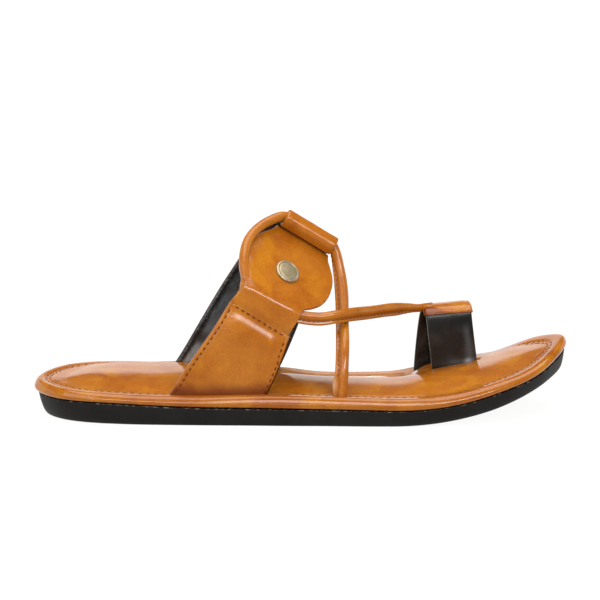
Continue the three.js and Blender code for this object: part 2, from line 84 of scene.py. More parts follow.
# Outsole: wall as inset and share of the thickness, top as inset, share and drop, and a ribbed tread
SOLE_AROUND = 640
SOLE_WALL = [(8.6, 0), (7, 0.05), (5.4, 0.2), (4, 0.46), (2.9, 0.76), (2.2, 1)]
SOLE_WALL_HEIGHT, SOLE_WALL_ROWS = 10, 22
SOLE_TOP = [(2.6, 1, 0.12), (4, 1, 0), (4, 0.6, 0), (4, INNER_RING, 0)]
GLUE_LINE = (0.94, 1)
TREAD_SHARES = np.concatenate([np.linspace(0.04, 0.8, 34), [0.84, 0.88, 0.92, 0.96]])
TREAD_PITCH, TREAD_DEPTH, TREAD_RIB, TREAD_END = 7.5, 0.9, (0.1, 0.8), (0.82, 0.79)
TREAD_WAVE, TREAD_WAVE_LENGTH = 1.8, 24

# Footbed: rolled rim as inset and share of its height, then the stitched groove, margin and pad
FOOTBED_AROUND = 900
RIM = [
    (2.8, 0), (1, 0.1), (0.1, 0.3), (0, 0.4), (0.14, 0.5), (0.45, 0.62), (0.78, 0.74), (1.7, 0.93), (2.8, 1),
]
RIM_HEIGHT, RIM_ROWS, RIM_WIDEST, RIM_TOP = 6, 22, 0.4, (0.3, 0.7)
RIM_TOE_ROUND, RIM_TOE, RIM_TOE_SIDE = 0.5, (56, 82), (0, -12)
RIM_WAVES, RIM_UNEVEN = 3, (0.05, 29)
# Painted reflection on the far rim: its top and the rim side of the groove are painted paler where the pad is
# sunk, for the bright wall that they mirror
RIM_PAINTED_SHEEN, RIM_SHEEN_SINK, RIM_SHEEN_END = 0.4, (0, 2), (0, -1.5)
RIM_DEEP, RIM_DEEP_SIDE = 0.15, (0, -10)
RIM_FOOT_DARK, RIM_FOOT = 0.5, (0.1, 0)
GROOVE = [
    (-3.2, 0), (-2.4, 0), (-1.7, -0.02), (-1.1, -0.1), (-0.7, -0.26), (-0.35, -0.46), (0, -0.58),
    (0.5, -0.52), (1, -0.48), (1.5, -0.49), (2, -0.53), (2.5, -0.44), (3.2, -0.32), (4.2, -0.2), (5.4, -0.08),
]
GROOVE_START, GROOVE_END = GROOVE[0][0], GROOVE[-1][0]
GROOVE_UNEVEN = (0.06, 11)
STITCH_LINE_INSET = (6.2, 8)
STITCH_LINES = (0, 2)
STITCH_LINE_WIDTH, STITCH_LINE_DARK, STITCH_LINE_SUNK = 0.5, 0.22, 0.1
DENT_DEPTH, DENT_WIDTH, DENT_DARK = 0.28, 0.2, 0.3
HEEL_MARGIN, HEEL_MARGIN_REACH = 5, 24
PAD_SHARES = 1 - np.linspace(0.02, 0.96, 34)
PAD_ROUNDNESS = 2
PAD_UNEVEN, PAD_FINE_UNEVEN = (0.1, 46), (0.04, 19)

# Inner side of the footbed: sunk pad, stretches level with the rim, swells (start, end, height, outer side)
SINK_REACH = 24
FLUSH_REACH, FLUSH_LIMIT, FLUSH_HEEL, FLUSH_TOE = 15, 4.2, (-130, -88), (126, 110)
FLUSH_DROP, FLUSH_LIFT, FLUSH_HIDES = 0.12, 0.6, 0.5
FLUSH_RIM_DROP, FLUSH_RIM_WIDTH = 0.5, 4
SWELLS = [(-82, 14, 1.5, -26), (46, 106, 1.5, 14)]
SWELL_FADE, SWELL_FULL = 24, 27

# Stitches: places along a dash with thickness and lift, then length, radius and sink of each kind of dash
STITCH_SIDES, STITCH_FLAT, STITCH_STEP = 7, 0.8, 0.2
STITCH_PROFILE = table("place swell lift", [
    (-0.5, 0.45, -1), (-0.4, 0.85, -0.45), (-0.22, 1, 0.25), (0, 1, 0.5), (0.22, 1, 0.25),
    (0.4, 0.85, -0.45), (0.5, 0.45, -1),
])
FOOTBED_DASH, FOOTBED_PITCH = (2.2, 0.3, 0.25), 4.1
OUTER_DASH, INNER_DASH, LINING_DASH, STRAP_PITCH = (2.3, 0.4, 0.3), (1.9, 0.32, 0.3), (1.7, 0.26, 0.22), 3.4
CORD_DASH, CORD_PITCH = (1.8, 0.22, 0.2), 2.7

# Instep frame: "along" runs forward and down the instep, "up" leans forward with the straps. The tunnel and
# the roll, through which the rolled strap runs, are at (y, up)
INSTEP_X, INSTEP_Z, LEAN = -46, 16, math.radians(32)
TUNNEL, TUNNEL_RADIUS = np.array([-27, 57]), 2.7
ROLL, ROLL_REAR, ROLL_FRONT, ROLL_RADIUS = np.array([5, 94.7]), -14.5, 16.4, 4.8
ROLL_SQUARE, ROLL_CORNER = 0.06, math.radians(172)
ROLL_START, ROLL_TURN, ROLL_ROWS = math.radians(62), math.radians(318), 64
ROLL_APART = math.dist(ROLL, TUNNEL)
SEAT = 0.3

# Straps: a row for each station, then padding and marks by distance from edge, seam and footbed
LATERAL = table("up y rear front", [
    (-24, -26.5, -21.4, 24.6), (-13, -28.2, -21, 23.6), (0, -30.2, -21.4, 22.8),
    (14, -31.8, -21.2, 22), (30, -32.3, -20.6, 19.8), (46.3, -30.6, -20.6, 16.4),
])
MEDIAL = table("up y rear front", [
    (-20, 27.6, -19.5, 31), (0, 27, -19.2, 30.5), (22, 26.2, -20, 29.5), (40, 27, -20.4, 27),
    (57, 26, -20.4, 23.5), (70, 23.5, -20.6, 20), (82, 18.2, -20, 17.5), (89.5, 12, -17.8, 16),
    (92.2, 8.6, -15.6, 15.6),
])
STRAP_HALF, STRAP_SUNK, STRAP_ROWS, STRAP_STEP = 1.4, 3, 110, 0.5
FACE_POINTS, EDGE_POINTS, EDGE_GATHER, CROSS_POINTS = 41, 7, 0.45, 30
LINED_EDGES, COVERED_EDGES = (3, 4), (2, 5)
STITCH_INSET = 2.05
LAYER, LAYER_GAP, LAYER_START, LAYER_BEYOND, LAYER_ROWS = 1, 0.35, 0.4, 5, 12
LAYER_FREE, LINING_OUT, LINING_OUT_POINTS = 20, 0.8, 4
OUTER_STITCHED, OUTER_SEAM_ROW = (7, STRAP_ROWS - 3), STRAP_ROWS - 2
INNER_STITCHED = (6, -4)
RISING_SKIP, WRAP_SKIP, INNER_SPLINE_STEPS = 4, 3, 6
SEAM_UP = LATERAL["up"][-1]
SEAM_DROP, SEAM_FADE = -0.7, (10.6, 1.6)
END_FULL, END_RISE, END_EDGE, END_FALL, STRAP_FULL = 0.86, (1.6, 7.6), (1.5, 9.5), (8, 22), 0.3
OUTER_PULL, OUTER_PULL_WIDTH, OUTER_PULL_END = 0.3, 0.5, (1, 3)
CREASE_DEPTH, CREASE_SLANT, CREASE_WAVES = 0.13, 0.5, 2.6
CREASE_BEHIND, CREASE_BELOW, CREASE_EDGE = (5.5, 2.6), (11, 4), (0.8, 2.8)
OUTER_UNEVEN, OUTER_UNEVEN_EDGE, OUTER_UNEVEN_END = (0.12, 21), (2.5, 6.5), (5, 10)
# Painted shade on the outer strap's tan near the footbed, with an uneven edge
OUTER_PAINTED_SHADE, OUTER_SHADE_FOOT, OUTER_SHADE_UNEVEN = 0.8, (8, 1), (1.4, 17)
INNER_FULL, INNER_EDGE, INNER_PULL, INNER_PULL_WIDTH = 0.45, (1.8, 7.8), 0.25, 0.55
INNER_UNEVEN, INNER_UNEVEN_EDGE, INNER_STANDS = (0.1, 18), (2, 5), 70
INNER_ROLL_FADE, INNER_DARK_FOOT = (-14, -2), (35, 27)
# Painted reflection on the inner strap's lining: soft paler patches, strongest towards its foot
LINING_PAINTED_SHEEN, LINING_SHEEN_TOP, LINING_SHEEN_EDGE, LINING_SHEEN_EVEN, LINING_SHEEN_UNEVEN = 0.85, (62, 38), (2.6, 4.6), 0.75, (0.5, 16)
LINING_SHEEN_HIGH, LINING_SHEEN_LOW, LINING_SHEEN_LOW_FADE = 0.3, 0.9, (30, 4)

# Keeper: tab over the tunnel and disc under the roll
KEEPER_HALF, KEEPER_FULL, KEEPER_EDGE = 0.8, 0.35, (0.6, 5.6)
KEEPER_UNEVEN, KEEPER_UNEVEN_EDGE = (0.15, 15), (1, 5)
TAB_SUNK, TAB_SUNK_FADE, TAB_THIN, TAB_START, TAB_LIFT = 1, (3.9, -0.6), 0.4, -2.5, 0.5
TAB_REAR, TAB_FRONT, TAB_FLARE, TAB_ROWS, FOLD_ROWS, DISC_ROWS = -19.2, 15.4, 1.2, 25, 22, 120
NECK_REAR, NECK_FRONT, NECK_CURVE, NECK_FADE = -15.2, 16.2, 4, (0, 10)
HIP_CURVE, HIP_FADE, HIP_START = 7, (0, -8), (0, 3)
FOLD_SLANT, FOLD_PIVOT, FOLD_FADE = 0.06, 5, (16, 0)
DISC_FORWARD, DISC_RADIUS, DISC_CENTRE, DISC_END = 0.8, 24.7, 22.3, 45.7
DISC_DARK, DISC_WORN, DISC_WORN_WAVES, DISC_WORN_START = 0.5, (0.05, 0.35), (1, 2), (3, 6)
DISC_PALE, DISC_PALE_FADE = 0.5, (30, 34)
RIVET_ALONG, RIVET_LENGTH, RIVET_SEAT = -0.7, 19.9, 0.4
RIVET_SIDES, RIVET_SPLINE_STEPS, RIVET_SCALE = 72, 3, 1.08
RIVET_PROFILE = [
    (6.1, -0.1), (6.25, 0.25), (6.22, 0.7), (6, 1.08), (5.6, 1.3), (5.3, 1.36), (5.1, 1.3), (4.95, 1.2),
    (4.8, 1.22), (4.6, 1.34), (4.2, 1.44), (3.2, 1.55), (2, 1.63), (1, 1.67), (0.05, 1.68),
]
RIVET_GROOVE, RIVET_GROOVE_DARK, RIVET_FOOT, RIVET_FOOT_DARK = (4.93, 0.25), 0.48, (-0.1, 0.4), 0.8

# Rolled strap: route, way that its lip faces, and its section with the stitched lip
CORD_FROM_SOLE = [
    (18.6, -38.4, 10.8), (19.2, -38.2, 18), (20.2, -35.8, 29.5), (21, -28.6, 41.5),
    (21.6, -13.9, 53.6), (21.6, -6.2, 64.8), (20.2, -0.2, 76),
]
CORD_ROUND_DISC = [(-21.4, 41.6), (-25.8, 32), (-26.8, 22.7), (-24.1, 12), (-19.2, 4)]
CORD_TO_TOE = [
    (8.4, -26.4, 55.6), (17.2, -24, 56.2), (25.7, -18.6, 56.2), (36.3, -8.4, 55.1),
    (47.5, 2.6, 54.1), (58.2, 12.5, 52.4), (63.3, 16.9, 51.2), (67.6, 20, 51), (71, 21.6, 51),
]
CORD_TURN, STRAIGHT_SHARES = 2, (0, 0.3, 0.7, 1)
LIP_FROM_SOLE, LIP_INSIDE, LIP_DOWN = (-0.97, 0.05, 0.1), (-0.43, 0.586, -0.687), (-0.1, -0.5, -0.85)
LIP_IN_TUNNEL = (LIP_INSIDE, LIP_INSIDE, LIP_DOWN, LIP_DOWN)
LIP_SMOOTH = 10
CORD_RADIUS, CORD_ROLL, CORD_SHIFT, CORD_STEPS, CORD_ARC = 2.35, 2.55, -0.75, 460, 29
CORD_LIP, CORD_LIP_HALF, CORD_LIP_TIP = 4.6, 0.75, 7
# The creases beside the lip get painted shade
CORD_CREASE, CORD_CREASE_SHADE, CORD_WAIST = 0.28, 0.35, [(0.15, 0.02), (0.65, 0)]
CORD_FLAT, CORD_FLAT_LIP, CORD_FLAT_ROLL = (31, 4), 0.85, 0.25
CORD_LIP_IN_ROLL, CORD_LIP_IN_ROLL_WIDTH = 0.7, 17
CORD_FLARE, CORD_FLARE_LIP, CORD_FLARE_PALE = (11, 3.5), 0.4, 0.5
CORD_BREATH = [(0.025, 0.21, 0), (0.02, 0.083, 1)]
CORD_TOE_DARK, CORD_TOE_FADE = 0.14, 12
CORD_STITCH_OUT, CORD_STITCH_SINK, CORD_STITCH_ENDS = 0.45, 0.05, 14

# Toe loop: middle line, band and sleeve; places along it are shares of its length
TOE_LOOP = [
    (83, 13.6, 12.8), (82, 12.6, 25), (80.7, 11.8, 36), (79.8, 11.5, 44), (79.4, 12, 48), (79, 13.7, 50.7),
    (78.6, 17.4, 51.8), (78.2, 22.8, 51.5), (77.5, 29, 49.4), (76.6, 33.2, 43.4), (75.5, 35, 33),
    (74.5, 35.4, 22), (73.6, 34.9, 8),
]
LOOP_REACH, LOOP_HALF, LOOP_TILT, LOOP_ROWS = 12.1, 1, math.radians(5), 120
LOOP_SHARES = np.linspace(0, 1, 600)
LOOP_POINTS, SLEEVE_POINTS = (25, 5), (41, 9)
LOOP_WAVES, LOOP_UNEVEN = (1.4, 130), (0.22, 24)
LOOP_NEAR_LEG, LOOP_RAW_EDGE, LOOP_RAW = (0.33, 0.27), (2, 0.8), 0.6
# Painted reflections on the near leg of the toe band: down its front and at its foot
LOOP_FRONT_SHEEN, LOOP_FRONT, LOOP_FRONT_WAVES, LOOP_FRONT_UNEVEN = 0.16, (8.6, 1.9), 90, (0.05, 14)
LOOP_FOOT, LOOP_FOOT_SHEEN, LOOP_FOOT_FRONT = (0.106, 0.014), 0.9, (7.4, 1.7)
LOOP_FOOT_SIDE_SHEEN, LOOP_FOOT_SIDE = 0.16, (-5, 0)
# Slots get painted shade, and the pad in front of the band a painted shadow and reflection of it
SLOTS, SLOT_EDGE, SLOT_PAINTED_SHADE = [(82.6, 13.3), (74.3, 35.3)], (1.9, 1.2), 0.85
BAND_PAINTED_SHADOW, BAND_NEAR, BAND_FAR, BAND_SIDE = 0.42, (-2, 0), (17, 5), (1, -4)
# The flap, the tucked rear corner and the inside of the far hem get painted shade
SLEEVE_FROM, SLEEVE_TO, SLEEVE_WALL, SLEEVE_EDGE = 0.374, 0.62, 0.75, 0.8
SLEEVE_INSIDE, SLEEVE_INSIDE_EDGE, SLEEVE_ROWS, SLEEVE_LIP, SLEEVE_DEEP = 0.15, 0.2, 46, 0.005, 0.05
FLAP_DROP, FLAP_FADE, FLAP_LIFT, FLAP_ROWS, FLAP_SHADE = 0.004, (-4, 10), 0.3, 8, 0.7
FLAP_BEHIND, FLAP_SHOWN, FLAP_FOLD = 0.046, 0.012, 0.003
NEAR_HEM_GAP, NEAR_HEM_RISE, NEAR_HEM_FADE = 0.002, 0.042, (-1.5, -9.5)
FAR_HEM_DROP, FAR_HEM_FADE, FAR_HEM_SHADE = 0.1, (-2, -11), 0.5
HEM_ROUND, HEM_ROUND_FADE, HEM_DEPTH, HEM_INSET, HEM_WIDTH = 0.3, (0.06, 0), 0.3, 2.2, 0.45
TUCK_DEPTH, TUCK_SIDE, TUCK_END, TUCK_SHADE = 1.1, (-5, -12), (0.18, 0.04), 0.55
PUCKER_DEPTH, PUCKER_WAVES, PUCKER_SIDE, PUCKER_PLACE = 0.28, (1.5, 24), (-6, -10), (0.35, 0.25)
SLEEVE_FULL, SLEEVE_FULL_EDGE, SLEEVE_WAVES, SLEEVE_UNEVEN = 0.2, 5, 38, (0.08, 12)

# Noises of the materials: waves per metre, detail, roughness, distortion, and stretch along X, Y and Z
TAN_CLOUDS, TAN_SPOTS = (42, 5, 0.6, 0.6), (75, 2, 0.5, 0.3, (1, 1, 0.6))
TAN_GRAIN, TAN_PEBBLE = (1000, 3, 0.6), (620, 2, 0.5)
SHEET_CLOUDS, SHEET_FOLDS, SHEET_GRAIN = (60, 4, 0.6), (130, 3, 0.5, 0.8), (650, 3, 0.6, 0.5)
RUBBER_CLOUDS, RUBBER_FLECKS = (55, 5, 0.65), (900, 2, 0.7)
RUBBER_GLUE, RUBBER_GRAIN = (420, 3, 0.7), (1100, 3, 0.6)
BRASS_CLOUDS, BRASS_SCRATCHES = (380, 4, 0.65, 0.4), (900, 2, 0.6, 0, (1, 1, 0.2))
THREAD_TWIST, FLOOR_CLOUDS = (2600, 2, 0.6), (3, 2, 0.55)

# Spreads of a noise (low, high, start, finish), bumps (strength, depth), depths in millimetres and shines
TAN_SPOT_RANGE, TAN_SPECKLE = (0.54, 0.68), (0.86, 1.13)
TAN_PEBBLE_DEPTH, TAN_GRAIN_DEPTH, TAN_GRAIN_SHARE = 0.2, 0.12, 0.8
SHEET_FOLD_DEPTH, SHEET_GRAIN_DEPTH = 1.5, 0.4
RUBBER_DUST_SPREAD, RUBBER_GLUE_SPREAD = (0, 0.5, 0.73, 0.82), (0, 0.9, 0.53, 0.63)
RUBBER_ROUGH, RUBBER_BUMP, RUBBER_SHINE = (0.5, 0.66), (0.2, 0.2), 0.2
BRASS_ROUGH, BRASS_BUMP, BRASS_METAL = (0.45, 0.32), (0.12, 0.15), 0.7
THREAD_ROUGH, THREAD_BUMP, THREAD_SHINE = (0.6, 0.8), (0.3, 0.2), 0.1
FLOOR_ROUGH = 0.9

# Colours in linear light; tones are places on a noise with their colours
TAN_TONES = [(0.34, (0.345, 0.091, 0.005)), (0.5, (0.41, 0.123, 0.0072)), (0.66, (0.46, 0.152, 0.011))]
# Deep and pale are the colours of the darker and paler marks, which carry painted shade and painted
# reflection as well as dark stitch rows, nicks and pale cut edges
TAN_PATCH, TAN_DEEP, TAN_PALE = (0.5, 0.178, 0.0065), (0.13, 0.018, 0.0012), (0.62, 0.4, 0.24)
LINING_TONES = [(0.3, (0.006, 0.0056, 0.005)), (0.75, (0.0128, 0.01208, 0.011))]
BAND_TONES = [(0.3, (0.006, 0.0055, 0.0048)), (0.75, (0.0128, 0.0119, 0.01064))]
# Grey of the paler mark on the black sheets: the toe band's raw edge, and painted reflections on the lining
# and the band
SHEET_EDGE_AND_SHEEN = (0.29, 0.33, 0.35)
RUBBER_TONES = [(0.3, (0.0085, 0.0078, 0.0068)), (0.75, (0.015, 0.0138, 0.012))]
RUBBER_DUST, GLUE = (0.12, 0.11, 0.1), (0.36, 0.3, 0.25)
BRASS_TONES = [(0.3, (0.3, 0.235, 0.135)), (0.55, (0.46, 0.37, 0.225)), (0.75, (0.6, 0.505, 0.34))]
BRASS_DEEP = (0.035, 0.025, 0.014)
RED_TONES = [(0.3, (0.1, 0.018, 0.003)), (0.7, (0.2, 0.04, 0.008))]
BROWN_TONES = [(0.3, (0.16, 0.062, 0.02)), (0.7, (0.28, 0.12, 0.042))]
BLACK_TONES = [(0.3, (0.006, 0.006, 0.006)), (0.7, (0.02, 0.02, 0.019))]
FLOOR_TONES = [(0.3, (0.07, 0.07, 0.069)), (0.7, (0.09, 0.09, 0.089))]

# Studio, in metres and degrees: floor, brightness of the wall by height, and the lights as name, azimuth,
# elevation, width, height, brightness and whether they also light matt surfaces
FLOOR_HALF, FLOOR_GLOW, FLOOR_GLOW_TONE = 6, 0.95, (1, 0.995, 0.99)
WALL_TONES = [(-1, 0.5), (-0.5, 1.12), (0.35, 1.12), (0.45, 0.16), (1, 0.14)]
FRONT_TONES = [(-1, 0.3), (-0.1, 0.3), (0, 0.22), (1, 0.14)]
WALL_SIDE = (-0.35, 0.15)
SOFTBOX_DISTANCE, SOFTBOX_POWER = 12, 4
SOFTBOXES = [
    ("front_softbox", 28, 36, 22, 9, 14, True), ("front_glow", 26, 36, 56, 30, 0.45, True),
    ("rim_softbox", -8, 32, 44, 9, 5, False), ("low_heel_softbox", -22, 7, 26, 14, 1.8, True),
    ("heel_side_softbox", -52, 32, 36, 30, 1.7, True),
]
SKYLIGHT_SPREAD, SKYLIGHT_STRENGTH, SKYLIGHT_ELEVATION, SKYLIGHT_DISTANCE = 60, 2.65, 88, 3

# Camera: the photograph's angle, drawn almost without perspective
CAMERA_AZIMUTH, CAMERA_ELEVATION = -3, 12
CAMERA_TARGET = (-0.3, 0, 60.16)
CAMERA_DISTANCE, CAMERA_FIELD, CAMERA_SENSOR, CAMERA_SIGHT = 9000, 317.4, 36, 20


# Shaping functions
def smooth(rows, column, place):
    """Smooth value of one column at places along the first column of a table."""
    xs, ys = next(iter(rows.values())), rows[column]
    slopes = np.empty_like(ys)
    slopes[1:-1] = (ys[2:] - ys[:-2]) / (xs[2:] - xs[:-2])
    slopes[[0, -1]] = (np.diff(ys) / np.diff(xs))[[0, -1]]
    place = np.clip(place, xs[0], xs[-1])
    row = np.clip(np.searchsorted(xs, place) - 1, 0, len(xs) - 2)
    span = xs[row + 1] - xs[row]
    t = (place - xs[row]) / span
    rise = ys[row + 1] - ys[row]
    bend = slopes[row] * span - rise
    turn = rise - slopes[row + 1] * span
    return ys[row] + t * rise + t * (1 - t) * ((1 - t) * bend + t * turn)


def fade(value, zero, one):
    """Smooth step: 0 at one value, 1 at the other."""
    t = np.clip((value - zero) / (one - zero), 0, 1)
    return t * t * (3 - 2 * t)


def hump(value, middle, width):
    """Soft bump of height 1."""
    return np.exp(-((value - middle) / width) ** 2)


def ripple(a, b, height, length):
    """Gentle repeatable unevenness, about one wave per length."""
    k = TURN / length
    waves = sum(share * np.sin(k * (p * a + q * b) + start) for p, q, start, share in RIPPLES)
    return height * waves / sum(share for *_, share in RIPPLES)


def mixed(first, second, share):
    return first + (second - first) * share


def points_of(*coordinates):
    return np.stack(coordinates, axis=-1)


def around(angles):
    """Points of the unit circle."""
    return points_of(np.cos(angles), np.sin(angles))


def unit(vectors):
    return vectors / np.linalg.norm(vectors, axis=-1, keepdims=True)


def spline(points, closed=False, per=SPLINE_STEPS):
    """Dense points on a centripetal Catmull-Rom curve through the given points."""
    knots = np.asarray(points, float)
    if closed:
        longer = np.vstack([knots[-1:], knots, knots[:2]])
    else:
        longer = np.vstack([2 * knots[:1] - knots[1:2], knots, 2 * knots[-1:] - knots[-2:-1]])
    p0, p1, p2, p3 = (longer[i:len(longer) - 3 + i, None] for i in range(4))
    d0, d1, d2 = (
        np.maximum(np.linalg.norm(b - a, axis=-1, keepdims=True), SPLINE_LEAST) ** 0.5
        for a, b in ((p0, p1), (p1, p2), (p2, p3)))
    leave = ((p1 - p0) / d0 - (p2 - p0) / (d0 + d1) + (p2 - p1) / d1) * d1
    arrive = ((p2 - p1) / d1 - (p3 - p1) / (d1 + d2) + (p3 - p2) / d2) * d1
    t = (np.arange(per) / per)[None, :, None]
    curve = p1 + leave * t + (3 * (p2 - p1) - 2 * leave - arrive) * t ** 2
    curve = curve + (2 * (p1 - p2) + leave + arrive) * t ** 3
    dense = curve.reshape(-1, knots.shape[1])
    return np.vstack([dense, dense[:1] if closed else knots[-1:]])


def run_of(line):
    """Length along a line at each of its points."""
    return np.concatenate([[0], np.cumsum(np.linalg.norm(np.diff(line, axis=0), axis=1))])


def sample(at, run, line):
    """Points of a line at lengths along it."""
    return points_of(*(np.interp(at, run, column) for column in line.T))


def by_length(line, shares):
    """Points at shares of the length of a line."""
    run = run_of(line)
    return sample(shares * run[-1], run, line)


# Meshes
def make_piece(name, points, faces, materials, face_slots, shade):
    """Mesh object from points in millimetres, riding on the slipper."""
    mesh = bpy.data.meshes.new(name)
    mesh.from_pydata((np.asarray(points) * MM).tolist(), [], faces)
    for material in materials:
        mesh.materials.append(material)
    mesh.polygons.foreach_set("material_index", np.asarray(face_slots, np.int32))
    marks = mesh.attributes.new("shade", "FLOAT", "POINT")
    marks.data.foreach_set("value", np.asarray(shade, float).ravel())
    mesh.polygons.foreach_set("use_smooth", np.ones(len(faces), bool))
    mesh.update()
    piece = bpy.data.objects.new(name, mesh)
    bpy.context.scene.collection.objects.link(piece)
    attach(piece, BODY)
    return piece


def facing_out(points, faces):
    """The same faces, turned over if they enclose a negative volume."""
    volume = 0
    for corners in {len(face) for face in faces}:
        group = np.array([face for face in faces if len(face) == corners])
        for second in range(1, corners - 1):
            a, b, c = (points[group[:, i]] for i in (0, second, second + 1))
            volume += np.einsum("ij,ij->", a, np.cross(b, c))
    return faces if volume > 0 else [face[::-1] for face in faces]


def ring_faces(rows, size):
    """Faces between neighbouring rings of points."""
    index = np.arange(rows * size).reshape(rows, size)
    right = np.roll(index, -1, axis=1)
    return np.stack([index[:-1], right[:-1], right[1:], index[1:]], axis=-1).reshape(-1, 4).tolist()


def loft(name, node, rings, shade, materials, columns=0):
    """Closed piece through rings of points, in place of a CAD node.

    The end rings are closed by a zip of quads. Columns gives the material of each strip of faces.
    """
    rings = np.asarray(rings)
    rows, size = rings.shape[:2]
    ends = []
    for i in range(size // 2 - 1):
        corners = np.array([i, i + 1, size - 2 - i, size - 1 - i])
        ends += [corners[::-1].tolist(), (corners + (rows - 1) * size).tolist()]
    points = rings.reshape(-1, 3)
    faces = facing_out(points, ring_faces(rows, size) + ends)
    slots = np.zeros((rows - 1, size), int) + columns
    piece = make_piece(name, points, faces, materials, [*slots.ravel(), *[0] * len(ends)], shade)
    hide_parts(node)
    return piece


def stitches(name, material, lines, pitch, dash):
    """Short rounded stitches along lines; each line has points and outward normals."""
    length, radius, sink = dash
    place, swell, lift = STITCH_PROFILE.values()
    circle = around(np.arange(STITCH_SIDES) * TURN / STITCH_SIDES) * [1, STITCH_FLAT]
    solids = []
    for line, normals in lines:
        run = run_of(line)
        count = int(run[-1] // pitch)
        middles = (run[-1] - (count - 1) * pitch) / 2 + pitch * np.arange(count)
        at = middles[:, None] + length * place
        tangent = unit(sample(at + STITCH_STEP, run, line) - sample(at - STITCH_STEP, run, line))
        side = unit(np.cross(tangent, sample(at, run, normals)))
        normal = np.cross(side, tangent)
        centre = sample(at, run, line) + normal * (lift * sink)[:, None]
        spokes = circle @ np.stack([side, normal], axis=-2)
        solids.extend(centre[..., None, :] + radius * swell[:, None, None] * spokes)
    size = len(place) * STITCH_SIDES
    caps = [list(range(STITCH_SIDES))[::-1], list(range(size - STITCH_SIDES, size))]
    one = facing_out(solids[0].reshape(-1, 3), ring_faces(len(place), STITCH_SIDES) + caps)
    faces = [[number * size + corner for corner in face] for number in range(len(solids)) for face in one]
    points = np.reshape(solids, (-1, 3))
    make_piece(name, points, faces, [material], np.zeros(len(faces)), np.zeros(len(points)))


# Materials
class Nodes:
    """Node tree of a material or of the world, with a call for each kind of node."""

    def __init__(self, owner):
        owner.use_nodes = True
        self.owner, self.tree = owner, owner.node_tree

    def fill(self, node, inputs):
        """Sets inputs of a node, each to a value, a colour or the output of another node."""
        for name, value in inputs.items():
            socket = node.inputs[name]
            if isinstance(value, bpy.types.NodeSocket):
                self.tree.links.new(value, socket)
            else:
                socket.default_value = (*value, 1) if socket.type == "RGBA" else value

    def add(self, kind, inputs):
        node = self.tree.nodes.new("ShaderNode" + kind)
        self.fill(node, inputs)
        return node

    def noise(self, scale, detail, roughness, distortion=0, stretch=(1, 1, 1)):
        """Noise in the slipper's own coordinates; scale is waves per metre."""
        place = self.add("TexCoord", {})
        mapping = self.add("Mapping", {"Vector": place.outputs["Object"], "Scale": stretch})
        noise = self.add("TexNoise", {
            "Vector": mapping.outputs["Vector"], "Scale": scale, "Detail": detail, "Roughness": roughness,
            "Distortion": distortion})
        return noise.outputs["Fac"]

    def ramp(self, source, tones):
        ramp = self.add("ValToRGB", {"Fac": source})
        elements = ramp.color_ramp.elements
        while len(elements) < len(tones):
            elements.new(0.5)
        for element, (position, colour) in zip(elements, tones):
            element.position = position
            element.color = (*colour, 1)
        return ramp.outputs["Color"]

    def mix(self, share, first, second, blend="MIX"):
        """Mix of two colours, which are the node's inputs 6 and 7."""
        mix = self.add("Mix", {})
        mix.data_type = "RGBA"
        mix.blend_type = blend
        self.fill(mix, {0: share, 6: first, 7: second})
        return mix.outputs[2]

    def spread(self, source, low, high, start=0.3, finish=0.7):
        """Values from low to high, while the source goes from start to finish."""
        spread = self.add("MapRange", {
            "Value": source, "From Min": start, "From Max": finish, "To Min": low, "To Max": high})
        return spread.outputs["Result"]

    def mark(self, full):
        """Share painted on the mesh's points: full is 1 for the darker marks, -1 for the paler ones."""
        shade = self.add("Attribute", {})
        shade.attribute_name = "shade"
        return self.spread(shade.outputs["Fac"], 0, 1, 0, full)

    def surface(self, colour, roughness, bumps, others):
        """Sets the shader, with a chain of bumps: each a source, a strength and a depth in millimetres."""
        normal = {}
        for source, strength, depth in bumps:
            bump = {"Height": source, "Strength": strength, "Distance": depth * MM}
            normal = {"Normal": self.add("Bump", bump | normal).outputs["Normal"]}
        shader = self.tree.nodes["Principled BSDF"]
        self.fill(shader, {"Base Color": colour, "Roughness": roughness, **normal, **others})
        return self.owner


def material_nodes(name):
    return Nodes(bpy.data.materials.new(name))


def tan_leather(name, rough, relief, patches, shine):
    """Glossy mottled leather-look sheet: broad clouds, warm patches, fine grain."""
    nodes = material_nodes(name)
    clouds, grain, pebble = nodes.noise(*TAN_CLOUDS), nodes.noise(*TAN_GRAIN), nodes.noise(*TAN_PEBBLE)
    patch_share = nodes.spread(nodes.noise(*TAN_SPOTS), 0, patches, *TAN_SPOT_RANGE)
    colour = nodes.mix(patch_share, nodes.ramp(clouds, TAN_TONES), TAN_PATCH)
    colour = nodes.mix(1, colour, nodes.spread(grain, *TAN_SPECKLE), "MULTIPLY")
    # The darker mark carries painted shade as well as dark stitch rows and nicks; the paler one carries a
    # painted reflection on the far rim as well as pale cut edges and puckers
    colour = nodes.mix(nodes.mark(1), colour, TAN_DEEP)
    colour = nodes.mix(nodes.mark(-1), colour, TAN_PALE)
    bumps = [(pebble, relief, TAN_PEBBLE_DEPTH), (grain, TAN_GRAIN_SHARE * relief, TAN_GRAIN_DEPTH)]
    return nodes.surface(colour, nodes.spread(clouds, *rough), bumps, {"Specular IOR Level": shine})


